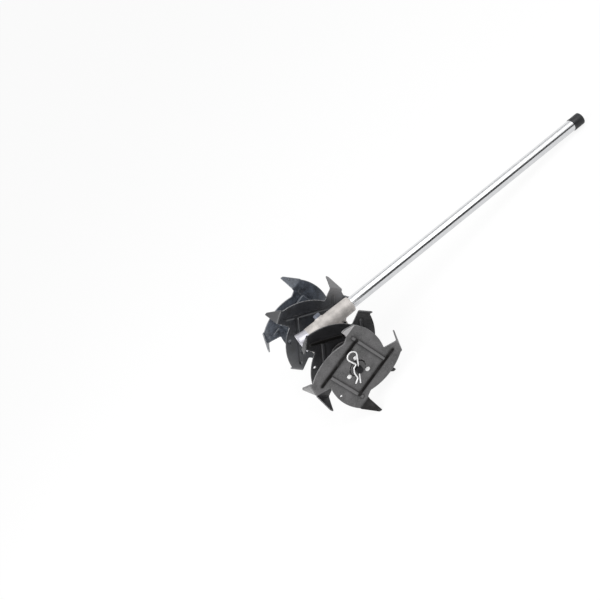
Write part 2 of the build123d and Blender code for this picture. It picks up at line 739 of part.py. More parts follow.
def tine_plate(styles, lifts):
    """A plate with its inner face on z = 0 and the outer one up; lifts says which claws bend outwards."""
    edges = []
    for k, style in enumerate(styles):
        edges += claw_edges(style, k)
    flat = make_face(edges)
    flat = fillet(flat.vertices().filter_by(near_radius(notch)), notch_round)
    heels = flat.vertices().filter_by(near_radius(mild_heel))
    if heels:
        flat = fillet(heels, mild_heel_round)
    bent = []
    for k, (style, lift) in enumerate(zip(styles, lifts)):
        point, turn, bend = (
            (mild_fold, mild_fold_turn, mild_bend) if style == "mild"
            else (steep_fold, steep_fold_turn, steep_bend))
        fold = Rot(0, 0, -360 / claws_per_plate * k) * Pos(*down(point)) * Rot(0, 0, -turn)
        region = fold * Pos(flap_room[0] / 2, 0) * Rectangle(*flap_room)
        flap = fold.inverse() * (flat & region)
        flat -= region
        bent += [fold * piece for piece in fold_claw(flap, bend, lift)]
    plate = extrude(flat, sheet)
    for piece in bent:
        plate += piece
    for k, style in enumerate(styles):
        ridge, hollow = pressed_bead(mild_bead_end if style == "mild" else steep_bead_end)
        turn = Rot(0, 0, -360 / claws_per_plate * k)
        plate += turn * ridge
        plate -= turn * hollow
    plate -= Cylinder(hub_boss_d / 2 + press_gap, 4 * sheet)
    for x, y in rivet_spots():
        plate -= Pos(x, y) * Cylinder(rivet_d / 2 + press_gap, 4 * sheet)
    plate -= Pos(*down(hang_hole)) * Cylinder(hang_hole_d / 2, 4 * sheet)
    return plate


def rivet_spots():
    turns = [radians(rivet_turn + 360 / rivet_count * i) for i in range(rivet_count)]
    return [(rivet_circle_d / 2 * cos(turn), rivet_circle_d / 2 * sin(turn)) for turn in turns]


def plate_frame(reach, lag):
    """The right-hand plate's frame: x along its first claw, z outwards, z = 0 on its inner face."""
    turn = radians(outer_plate_turn - lag)
    x_dir = (cos(turn), 0, sin(turn))
    return Plane((0, -reach + sheet / 2, 0), x_dir=x_dir, z_dir=(0, -1, 0)).location


outer_frame = plate_frame(outer_plate_reach, 0)
inner_frame = plate_frame(inner_plate_reach, inner_plate_lag)


def outer_tines():
    return outer_frame * tine_plate(("mild", "steep", "mild", "steep"), (True, False, True, False))


def inner_tines():
    return inner_frame * tine_plate(("steep",) * claws_per_plate, (True,) * claws_per_plate)


def rivet_frames():
    """Each rivet's place: z outwards from the inner face of its plate, and whether its flange is inside."""
    frames = []
    for x, y in rivet_spots():
        frames += [(outer_frame * Pos(x, y), True), (inner_frame * Pos(x, y), False)]
    return frames


def flange_span(inside):
    """Where the hub's flange lies along a plate's own z."""
    return (-hub_flange_t, 0) if inside else (sheet, sheet + hub_flange_t)


def tine_hub():
    """A spool with a flange on the side of each plate that faces the other plate."""
    def bar(y0, y1, diameter):
        return on_axle(-y1, -y0, diameter / 2)

    inner_in = inner_plate_reach - sheet / 2
    inner_out = inner_plate_reach + sheet / 2
    outer_in = outer_plate_reach - sheet / 2
    hub = bar(hub_start, hub_end, hub_tube_d)
    hub += bar(inner_in - hub_boss_proud, inner_out, hub_boss_d)
    hub += bar(outer_in, hub_end, hub_boss_d)
    hub += bar(inner_out, inner_out + hub_flange_t, hub_flange_d)
    hub += bar(outer_in - hub_flange_t, outer_in, hub_flange_d)
    hub -= hex_on_axle(-hub_end - 1, -hub_start + 1, axle_hex + 2 * running_gap)
    for place, inside in rivet_frames():
        low, high = flange_span(inside)
        hub -= place * Pos(0, 0, low) * Cylinder(rivet_d / 2 + press_gap, high - low, align=BASE)
    return hub


def dome():
    """A rivet's head on z = 0."""
    half = rivet_head_d / 2
    sphere_r = (half ** 2 + rivet_head_height ** 2) / (2 * rivet_head_height)
    ball = Pos(0, 0, rivet_head_height - sphere_r) * Sphere(sphere_r)
    return ball & Cylinder(half, rivet_head_height, align=BASE)


def tine_rivets():
    rivets = []
    for place, inside in rivet_frames():
        low = min(0, flange_span(inside)[0])
        high = max(sheet, flange_span(inside)[1])
        shank = Pos(0, 0, low) * Cylinder(rivet_d / 2, high - low, align=BASE)
        rivet = shank + Pos(0, 0, high) * dome() + Pos(0, 0, low) * Rot(180, 0, 0) * dome()
        rivets.append(place * rivet)
    return rivets


# ------------------------------------------------------------------ R-clip
def r_clip():
    """A spring wire clip: its straight leg passes through the axle and the waved leg hugs it."""
    grip = axle_hex / 2 / cos(radians(30)) + clip_wire / 2 + clip_grip_gap
    straight = Line((-clip_leg, 0), (clip_leg, 0))
    loop = CenterArc((clip_leg, clip_loop_r), clip_loop_r, -90, clip_loop_sweep)
    pinch = clip_wire + clip_pinch_gap
    leave = loop @ 1
    run = leave.Y - pinch
    wave = FilletPolyline(
        leave, (leave.X - run, pinch), (grip * 0.55, grip), (-grip * 0.65, grip),
        (-clip_leg * 0.6, pinch), (-clip_leg * 0.92, grip), radius=clip_round)
    path = Wire([straight, loop] + wave.edges())
    wire = sweep(Plane((-clip_leg, 0, 0), x_dir=(0, 1, 0), z_dir=(1, 0, 0)) * Circle(clip_wire / 2), path)
    turn = radians(clip_turn)
    frame = Plane((0, -clip_reach, 0), x_dir=(cos(turn), 0, sin(turn)), z_dir=(0, -1, 0)).location
    return frame * wire


# ------------------------------------------------------------------ the whole machine
def build():
    """Every node's solids in the tool frame."""
    left = Plane.XZ
    outer = outer_tines()
    inner = inner_tines()
    hub = tine_hub()
    rivets = tine_rivets()
    clip = r_clip()
    return {
        "shaft_tube": [shaft_tube()],
        "shaft_cap": [shaft_cap()],
        "gear_housing": [gear_housing()],
        "side_cover": [side_cover()],
        "cover_gasket": [cover_gasket()],
        "cover_screws": cover_screws(),
        "nose_cover": [nose_cover()],
        "clamp_screw": [clamp_screw()],
        "locating_screw": [locating_screw()],
        "grease_plug": [grease_plug()],
        "plug_washer": [plug_washer()],
        "shaft_bushes": shaft_bushes(),
        "worm_bearings": worm_bearings(),
        "axle_bearings": axle_bearings(),
        "axle_seals": axle_seals(),
        "drive_shaft": [drive_shaft()],
        "worm": [worm()],
        "worm_bearing_races": worm_bearing_races(),
        "worm_snap_ring": [worm_snap_ring()],
        "axle": [axle()],
        "worm_wheel": [worm_wheel()],
        "wheel_key": [key_block(0)],
        "axle_bearing_races": axle_bearing_races(),
        "axle_snap_rings": axle_snap_rings(),
        "stop_washers": stop_washers(),
        "tine_hub_right": [hub],
        "tine_hub_left": [mirror(hub, left)],
        "outer_tines_right": [outer],
        "outer_tines_left": [mirror(outer, left)],
        "inner_tines_right": [inner],
        "inner_tines_left": [mirror(inner, left)],
        "rivets_right": rivets,
        "rivets_left": [mirror(rivet, left) for rivet in rivets],
        "r_clips": both_sides(clip),
    }


def lying_down(nodes):
    """Move from the tool frame to the ground: two claw tips and the cap's end touch it."""
    round_x = cap_end - cap_end_round
    round_z = centre_distance - (cap_r - cap_end_round)

    def slope(vertex):
        run, rise = round_x - vertex.X, round_z - vertex.Z
        return atan2(rise, run) - asin(cap_end_round / hypot(run, rise))

    tips = [vertex for solid in nodes["outer_tines_right"] + nodes["inner_tines_right"]
            for vertex in solid.vertices()]
    tilt = degrees(max(slope(vertex) for vertex in tips))
    tilted = Rot(0, tilt, 0)
    solids = [tilted * solid for group in nodes.values() for solid in group]
    box = Compound(children=solids).bounding_box()
    return Pos(-(box.min.X + box.max.X) / 2, -(box.min.Y + box.max.Y) / 2, -box.min.Z) * tilted


nodes = build()
ground = lying_down(nodes)
os.makedirs("parts", exist_ok=True)
for name, solids in nodes.items():
    placed = [ground * solid for solid in solids]
    shape = placed[0] if len(placed) == 1 else Compound(children=placed)
    shape.label = name
    export_step(shape, f"parts/{name}.step")
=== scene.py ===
"""Cultivator attachment: the looks of a tube-mounted cultivator head, laid out as a Blender add-on.

Pieces are modelled in millimetres in the tool frame: the tine axle is Y, the shaft runs along +X above it
and +Z is the top of the gear housing. Each finished mesh is then laid down in the CAD model's own frame.
"""
import json
from math import acos, atan2, ceil, cos, degrees, hypot, pi, radians, sin, tan
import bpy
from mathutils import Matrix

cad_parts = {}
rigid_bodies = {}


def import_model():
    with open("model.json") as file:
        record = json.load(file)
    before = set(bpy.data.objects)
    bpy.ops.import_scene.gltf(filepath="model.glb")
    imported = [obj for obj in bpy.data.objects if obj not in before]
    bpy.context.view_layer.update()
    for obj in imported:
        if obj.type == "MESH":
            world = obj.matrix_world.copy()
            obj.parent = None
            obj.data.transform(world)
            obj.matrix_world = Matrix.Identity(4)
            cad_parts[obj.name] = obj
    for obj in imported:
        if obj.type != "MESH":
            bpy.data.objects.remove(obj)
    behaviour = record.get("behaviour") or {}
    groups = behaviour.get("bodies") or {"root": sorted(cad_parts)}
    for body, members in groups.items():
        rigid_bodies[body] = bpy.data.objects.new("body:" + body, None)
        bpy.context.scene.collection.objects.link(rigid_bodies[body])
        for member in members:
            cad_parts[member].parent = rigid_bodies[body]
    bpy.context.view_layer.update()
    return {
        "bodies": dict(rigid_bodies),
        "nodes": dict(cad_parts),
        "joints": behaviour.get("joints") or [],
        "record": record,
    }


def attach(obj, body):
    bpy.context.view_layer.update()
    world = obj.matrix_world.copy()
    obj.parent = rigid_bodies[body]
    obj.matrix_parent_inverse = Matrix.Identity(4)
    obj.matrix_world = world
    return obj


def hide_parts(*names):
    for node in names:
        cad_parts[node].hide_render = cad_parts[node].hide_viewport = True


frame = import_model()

from types import SimpleNamespace

import bmesh
import bpy
from bpy.props import FloatProperty, FloatVectorProperty, IntProperty, PointerProperty
from mathutils import Matrix, Vector
from mathutils.geometry import delaunay_2d_cdt
from mathutils.kdtree import KDTree

bl_info = {
    "name": "Cultivator attachment",
    "version": (1, 0, 0),
    "blender": (4, 5, 0),
    "location": "3D View > Sidebar > Cultivator",
    "description": "Builds the visible pieces of a tube-mounted cultivator head around its CAD frame",
    "category": "Add Mesh",
}

joints = {joint["name"]: joint for joint in frame["joints"]}
axle_centre = Vector(joints["tines_spin"]["pos_m"])
shaft_dir = Vector(joints["drive_spin"]["axis"]).normalized()
side_dir = Vector((0, 1, 0))
top_dir = shaft_dir.cross(side_dir)
MM = Matrix.Scale(0.001, 4)
TURN = Matrix((shaft_dir, side_dir, top_dir)).transposed().to_4x4()
TOOL = Matrix.Translation(axle_centre) @ TURN @ MM
MIRROR = Matrix.Diagonal((1, -1, 1, 1))


def linear(hex_colour):
    """An sRGB hex colour as linear RGBA."""
    parts = [int(hex_colour[i:i + 2], 16) / 255 for i in (1, 3, 5)]
    return [c / 12.92 if c <= 0.04045 else ((c + 0.055) / 1.055) ** 2.4 for c in parts] + [1.0]


def length(name, mm, description):
    """A length, written in millimetres and kept in metres."""
    return FloatProperty(name=name, description=description, default=mm / 1000, unit="LENGTH", precision=4)


def angle(name, value, description):
    """An angle, written in degrees."""
    return FloatProperty(name=name, description=description, default=radians(value), unit="ROTATION")


def colour(name, value, description):
    """A finish's colour, written as an sRGB hex value."""
    return FloatVectorProperty(name=name, description=description, default=linear(value)[:3], subtype="COLOR",
                               min=0.0, max=1.0)


def sizes_of(group):
    """The group's sizes as the pieces are drawn: lengths in millimetres and angles in degrees."""
    scale = {"LENGTH": 1000, "ROTATION": degrees(1)}
    sizes = {}
    for key, prop in group.bl_rna.properties.items():
        if key not in ("rna_type", "name"):
            sizes[key] = round(getattr(group, key) * scale.get(prop.unit, 1), 4)
    return SimpleNamespace(**sizes)


# ------------------------------------------------------------------ sizes and colours
class ShaftSizes(bpy.types.PropertyGroup):
    """Tube, cap and what holds them"""
    height: length("Height", 42.0, "The shaft's line above the axle's")
    outside: length("Outside diameter", 25.4, "Of the tube")
    wall: length("Wall", 1.6, "Of the tube")
    start: length("Start", 39.0, "The tube's lower end, inside the collar")
    end: length("End", 729.0, "The tube's free end")
    button_hole: length("Button hole", 7.0, "Diameter, on the underside")
    button_inset: length("Button hole inset", 36.0, "From the free end")
    cap_cover: length("Cap cover", 24.5, "Length of tube inside the cap")
    cap_wall: length("Cap wall", 1.2, "Thickness of the cap's skirt")
    cap_end: length("Cap end", 1.5, "Thickness of the cap's end")


class HousingSizes(bpy.types.PropertyGroup):
    """The casting, its covers and screws"""
    nose_joint: length("Nose joint", 27.0, "Where the nose cover meets the casting")
    nose_reach: length("Nose reach", 52.0, "The nose cover's end")
    nose_d: length("Nose diameter", 43.0, "At the nose cover's end")
    nose_joint_d: length("Nose joint diameter", 37.0, "Where it meets the casting")
    tunnel_d: length("Tunnel diameter", 38.4, "Round the worm")
    collar_d: length("Collar diameter", 34.4, "At the mouth")
    collar_reach: length("Collar reach", 84.0, "The collar's mouth")
    collar_round: length("Collar round", 4.0, "The mouth's rounded edge")
    case_r: length("Case radius", 40.0, "Round the worm wheel")
    case_left: length("Case left side", 13.0, "From the middle")
    case_right: length("Case right side", 20.5, "The joint face")
    boss_r: length("Boss radius", 22.0, "Round each axle bearing")
    boss_end: length("Boss end", 29.0, "From the middle")
    lug_circle: length("Lug circle", 41.0, "Radius on which the cover's lugs lie")
    lug_r: length("Lug radius", 5.5, "Round each cover screw")
    cover_t: length("Cover flange", 4.0, "Thickness")
    gasket_t: length("Gasket", 0.5, "Thickness")
    ear_start: length("Ear start", 41.5, "The clamp ears' lower end")
    ear_end: length("Ear end", 53.5, "The clamp ears' upper end")
    ear_half: length("Ear half width", 10.0, "The clamp ears to each side of the middle")
    ear_height: length("Ear height", 13.0, "The clamp ears below the collar")
    clamp_drop: length("Clamp screw drop", 9.5, "The clamp screw's line below the tube")
    locating_place: length("Locating screw", 66.0, "Along the shaft from the axle")
    locating_seat: length("Locating seat", 18.4, "The pad under the locating screw, from the shaft's line")
    plug_place: length("Plug place", 10.0, "Along the shaft from the axle")
    plug_tilt: angle("Plug tilt", 30.0, "From straight up, towards the left side")
    voxel: length("Casting grain", 1.0, "Cell size used to blend the casting's forms")


class TineSizes(bpy.types.PropertyGroup):
    """The four plates, their folds and beads, and what carries them"""
    sheet: length("Sheet", 3.0, "Thickness of the plates")
    outer_reach: length("Outer plates", 125.0, "From the middle to the plate's mid-plane")
    inner_reach: length("Inner plates", 63.5, "From the middle to the plate's mid-plane")
    first_claw: angle("First claw", -71.4, "Direction of the outer plate's first claw")
    lag: angle("Lag", 45.0, "How far the inner plate's claws trail")
    edge: length("Edge round", 0.55, "Radius of the sheared edges")
    bend_r: length("Bend radius", 3.0, "Inside radius of the folds")
    mild_bend: angle("Mild bend", 37.0, "Fold of the outer plates' first and third claws")
    steep_bend: angle("Steep bend", 70.0, "Fold of the other claws")
    bead_square: length("Bead square", 44.0, "Half the side of the square drawn by the beads")
    bead_width: length("Bead width", 8.6, "Across the foot")
    bead_height: length("Bead height", 2.2, "Over the sheet")
    hub_tube_d: length("Hub tube", 28.0, "Outside diameter")
    hub_boss_d: length("Hub boss", 33.0, "Outside diameter")
    hub_flange_d: length("Hub flange", 62.0, "Outside diameter")
    hub_flange_t: length("Hub flange thickness", 3.0, "Thickness")
    hub_start: length("Hub start", 36.1, "From the middle")
    hub_end: length("Hub end", 129.0, "From the middle")
    rivet_circle: length("Rivet circle", 24.0, "Radius")
    rivet_turn: angle("Rivet turn", 22.0, "The first rivet ahead of the first claw")
    rivet_count: IntProperty(name="Rivets", default=3, description="On each plate")
    rivet_head: length("Rivet head", 10.0, "Diameter")
    rivet_rise: length("Rivet rise", 2.4, "Height of a rivet's head")
    axle_hex: length("Axle flats", 14.0, "Across the flats of its ends")
    axle_end: length("Axle end", 138.4, "From the middle")
    clip_reach: length("Clip reach", 130.9, "From the middle")
    clip_wire: length("Clip wire", 3.0, "Diameter")
    clip_turn: angle("Clip turn", 67.6, "Direction of the straight leg")
    clip_leg: length("Clip leg", 33.0, "To each side of the axle")
    clip_loop: length("Clip loop", 10.5, "Radius")


class Finishes(bpy.types.PropertyGroup):
    """Colours of the finishes"""
    tube: colour("Tube", "#e9eaec", "Polished aluminium")
    casting: colour("Casting", "#cac5c1", "Sand-cast aluminium")
    turned: colour("Turned aluminium", "#c4c3ca", "Nose cover")
    zinc: colour("Zinc", "#f4f4f4", "Bright zinc plating")
    black_steel: colour("Black steel", "#1d1d1f", "Blackened screws and axle")
    plug: colour("Plug", "#7d828e", "Blue-grey plating")
    outer_paint: colour("Outer paint", "#373637", "Satin paint of the outer right plate")
    # the inner and the left plates take copies of the one plate paint, made darker or bluer: painted shade
    # where the near outer plate and the housing keep the light off them
    inner_paint: colour("Inner paint", "#1c1c1e", "Black paint of the inner right plate")
    left_outer_shaded_paint: colour("Left outer shaded paint", "#3f444c", "Blue-black paint of the outer left plate")
    left_inner_shaded_paint: colour("Left inner shaded paint", "#191b1f", "Blue-black paint of the inner left plate")
    hub_paint: colour("Hub paint", "#2a292a", "Hubs")
    worn_steel: colour("Worn steel", "#9a9a9c", "Where paint has worn off the edges")
    # pale steel tone painted on single claws as a highlight where they catch the light
    claw_highlight_steel: colour("Claw highlight", "#d2d0d1", "Where a claw is rubbed down to pale steel")
    # the dark soil colour also paints shade: in every bead's foot, over every second bead and on one claw
    soil_and_shade: colour("Soil", "#141211", "Dried soil in the plates' beads and on one claw")
    cap: colour("Cap", "#15171a", "Soft vinyl")
    floor: colour("Floor", "#fafafa", "Plain pale floor")


# ------------------------------------------------------------------ mesh helpers
def obj_from(name, mesh):
    """A new object in the scene that holds the mesh, or other data."""
    thing = bpy.data.objects.new(name, mesh)
    bpy.context.scene.collection.objects.link(thing)
    return thing


def mesh_from(bm):
    """The bmesh as a new mesh, with its faces turned outwards."""
    bmesh.ops.recalc_face_normals(bm, faces=bm.faces)
    mesh = bpy.data.meshes.new("part")
    bm.to_mesh(mesh)
    bm.free()
    return mesh


def baked(thing):
    """The object's mesh with its modifiers applied; the object is removed."""
    graph = bpy.context.evaluated_depsgraph_get()
    mesh = bpy.data.meshes.new_from_object(thing.evaluated_get(graph))
    bpy.data.objects.remove(thing)
    return mesh


def joined(meshes):
    """One mesh that holds all of these."""
    bm = bmesh.new()
    for mesh in meshes:
        bm.from_mesh(mesh)
    whole = bpy.data.meshes.new("part")
    bm.to_mesh(whole)
    bm.free()
    return whole


def moved(mesh, matrix):
    """A moved copy, which keeps its outside out when it is mirrored."""
    copy = mesh.copy()
    copy.transform(matrix)
    if matrix.determinant() < 0:
        copy.flip_normals()
    return copy


def laid(mesh, frame):
    """The mesh itself, moved into that frame."""
    mesh.transform(frame)
    return mesh


def frame_at(place, turn=0, axis="X"):
    """The frame at a place in mm, turned about one of the axes by degrees."""
    return Matrix.Translation(place) @ Matrix.Rotation(radians(turn), 4, axis)


def on_shaft():
    """The frame on the shaft's line, +Z towards the cap."""
    return frame_at((0, 0, sizes_of(bpy.context.scene.shaft_sizes).height), 90, "Y")


def on_axle(y=0.0, side=1):
    """The frame on the axle's line that far out, +Z outwards on that side."""
    return frame_at((0, y * side, 0), -90 * side)


def turned_ring(bm, r, z, segments):
    """A ring of points about Z, or the one point of a pole where the radius is 0."""
    turns = [2 * pi * i / segments for i in range(segments if r else 1)]
    return [bm.verts.new((r * cos(a), r * sin(a), z)) for a in turns]


def skin(bm, low, high, segments):
    """Faces between two rings, either of which may be a pole."""
    for i in range(segments):
        j = (i + 1) % segments
        corners = (low[i % len(low)], low[j % len(low)], high[j % len(high)], high[i % len(high)])
        unique = list(dict.fromkeys(corners))
        if len(unique) > 2:
            bm.faces.new(unique)


def cut_corners(profile):
    """A lathe profile's (radius, height) points; a third number cuts that corner off by so much."""
    points = []
    for i, (r, z, *cut) in enumerate(profile):
        if not cut:
            points.append((r, z))
            continue
        for next_r, next_z, *_ in (profile[i - 1], profile[(i + 1) % len(profile)]):
            share = cut[0] / hypot(next_r - r, next_z - z)
            points.append((r + (next_r - r) * share, z + (next_z - z) * share))
    return points


def lathe(profile, segments=72):
    """A closed form turned about Z from a profile as cut_corners reads it; a radius of 0 closes on a pole."""
    bm = bmesh.new()
    rings = [turned_ring(bm, r, z, segments) for r, z in cut_corners(profile)]
    if profile[0][0] > 0 and profile[-1][0] > 0:
        rings.append(rings[0])
    for low, high in zip(rings, rings[1:]):
        skin(bm, low, high, segments)
    return mesh_from(bm)


def cup(outside, inside, segments):
    """A closed shell turned about Z: from its lip to the outer pole, then from the inner pole back."""
    bm = bmesh.new()
    for run in (outside, inside):
        rings = [turned_ring(bm, r, z, segments) for r, z in run]
        for low, high in zip(rings, rings[1:]):
            skin(bm, low, high, segments)
    bmesh.ops.remove_doubles(bm, verts=bm.verts, dist=1e-4)
    return mesh_from(bm)


def arc(centre, radius, start, stop, steps):
    """Points of an arc in a lathe profile, angles in degrees."""
    turns = [radians(start + (stop - start) * i / steps) for i in range(steps + 1)]
    return [(centre[0] + radius * cos(a), centre[1] + radius * sin(a)) for a in turns]


def prism(points, z0, z1):
    """A straight prism from points on the XY plane."""
    bm = bmesh.new()
    low = [bm.verts.new((x, y, z0)) for x, y in points]
    high = [bm.verts.new((x, y, z1)) for x, y in points]
    bm.faces.new(low)
    bm.faces.new(high)
    for i in range(len(points)):
        j = (i + 1) % len(points)
        bm.faces.new((low[i], low[j], high[j], high[i]))
    return mesh_from(bm)


def hexagon(flats, turn=0.0):
    """A hexagon's corners from its size across the flats."""
    corner = flats / 2 / cos(radians(30))
    return [(corner * cos(radians(turn + 60 * i)), corner * sin(radians(turn + 60 * i))) for i in range(6)]


def block(low, high):
    """A box from its lowest to its highest corner, as stock or as a cutter."""
    (x0, y0, z0), (x1, y1, z1) = low, high
    return prism([(x0, y0), (x1, y0), (x1, y1), (x0, y1)], z0, z1)


def round_bar(r, z0, z1, segments=48):
    """A round bar on Z, as stock or as a cutter."""
    return lathe([(0, z0), (r, z0), (r, z1), (0, z1)], segments)


def combine(first, others, operation):
    """The first mesh with the others joined to it, cut from it or crossed with it, one after another."""
    thing = obj_from("combining", first)
    tools = [obj_from("tool", other) for other in others]
    for tool in tools:
        modifier = thing.modifiers.new("combine", "BOOLEAN")
        modifier.operation = operation
        modifier.solver = "EXACT"
        modifier.object = tool
    mesh = baked(thing)
    for tool in tools:
        bpy.data.objects.remove(tool)
    return mesh


def bevelled(mesh, width, sharpest):
    """The mesh with a narrow chamfer on every edge sharper than that angle."""
    thing = obj_from("bevelling", mesh)
    modifier = thing.modifiers.new("edges", "BEVEL")
    modifier.width = width
    modifier.segments = 1
    modifier.limit_method = "ANGLE"
    modifier.angle_limit = radians(sharpest)
    return baked(thing)


def cast(mesh, cell, smoothing):
    """Blends a rough union into one casting with soft corners."""
    thing = obj_from("casting", mesh)
    remesh = thing.modifiers.new("blend", "REMESH")
    remesh.mode = "VOXEL"
    remesh.voxel_size = cell
    smooth = thing.modifiers.new("soften", "SMOOTH")
    smooth.factor = 0.5
    smooth.iterations = smoothing
    return baked(thing)


def finish(name, mesh, body, slot, node, coat=None, crease=32):
    """The mesh, modelled in mm in the tool frame, becomes a piece that rides on its body.

    It stands for the CAD's node, in its slot's own material or in another coat.
    """
    mesh.transform(TOOL)
    mesh.name = name
    mesh.materials.clear()
    mesh.materials.append(MATERIALS[coat or slot])
    mesh.shade_smooth()
    mesh.set_sharp_from_angle(angle=radians(crease))
    piece = obj_from(name, mesh)
    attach(piece, body)
    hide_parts(node)


def finish_sides(name, mesh, slot, node, left_coat=None):
    """The right-hand side's mesh and its mirror image become two pieces on the tines."""
    left = moved(mesh, MIRROR)
    finish(f"{name}_right", mesh, "tines", slot, f"{node}_right")
    finish(f"{name}_left", left, "tines", slot, f"{node}_left", left_coat)


# ------------------------------------------------------------------ materials
def add(tree, kind, settings=None, links=None):
    """A node of that kind, with its properties and input values, and links into its inputs.

    A link's source is a socket, or a node, which then gives its first output in use.
    """
    node = tree.nodes.new(kind if kind.startswith(("Geometry", "Function", "Node")) else "ShaderNode" + kind)
    for key, value in (settings or {}).items():
        if isinstance(key, int) or key in node.inputs:
            node.inputs[key].default_value = value
        else:
            setattr(node, key, value)
    for key, source in (links or {}).items():
        if isinstance(source, bpy.types.Node):
            source = next(output for output in source.outputs if output.enabled)
        tree.links.new(source, node.inputs[key])
    return node


def new_material(name):
    """An empty material and its node tree."""
    material = bpy.data.materials.new(name)
    material.use_nodes = True
    material.node_tree.nodes.clear()
    return material, material.node_tree


# a Mix node's inputs: how far from A to B, its two values, and its two colours
SHARE, VALUE_A, VALUE_B, COLOUR_A, COLOUR_B = 0, 2, 3, 6, 7


def tool_coordinates(tree, stretch=(1, 1, 1)):
    """Object coordinates in mm, with X along the shaft; a small stretch draws a pattern out."""
    source = add(tree, "TexCoord")
    turned = add(tree, "Mapping", {"Rotation": TURN.inverted().to_euler(), "Scale": (1000, 1000, 1000)},
                 {"Vector": source.outputs["Object"]})
    return add(tree, "Mapping", {"Scale": stretch}, {"Vector": turned})


def toned(tone, factor):
    """The colour with its light scaled, as linear RGBA."""
    return [min(1.0, c * factor) for c in tone[:3]] + [1.0]


def metal(name, tone, roughness, grain=(1, 1, 1), grain_mm=0.6, depth_mm=0.01, spread=0.08, metallic=1.0,
          tint=0.13):
    """Metal whose grain runs where it is stretched: drawn, turned or ground.

    Real draw lines and grinding marks are under 0.1 mm apart. The grain is drawn coarser, so that it shows.
    """
    cloud_mm = 14
    material, tree = new_material(name)
    fine = add(tree, "TexNoise", {"Scale": 1 / grain_mm, "Detail": 4.0, "Roughness": 0.55},
               {"Vector": tool_coordinates(tree, grain)})
    cloud = add(tree, "TexNoise", {"Scale": 1 / cloud_mm, "Detail": 3.0, "Roughness": 0.55},
                {"Vector": tool_coordinates(tree)})
    share = add(tree, "MapRange", {"From Min": 0.35, "From Max": 0.65}, {"Value": cloud})
    base = add(tree, "Mix", {"data_type": "RGBA", COLOUR_A: toned(tone, 1 - tint),
                             COLOUR_B: toned(tone, 1 + tint)}, {SHARE: share})
    rough = add(tree, "MapRange", {"From Min": 0.3, "From Max": 0.7, "To Min": roughness - spread / 2,
                                   "To Max": roughness + spread / 2}, {"Value": fine})
    grained = add(tree, "Bump", {"Strength": 1.0, "Distance": depth_mm / 1000}, {"Height": fine})
    shader = add(tree, "BsdfPrincipled", {"Metallic": metallic},
                 {"Base Color": base, "Roughness": rough, "Normal": grained})
    add(tree, "OutputMaterial", {}, {"Surface": shader})
    return material


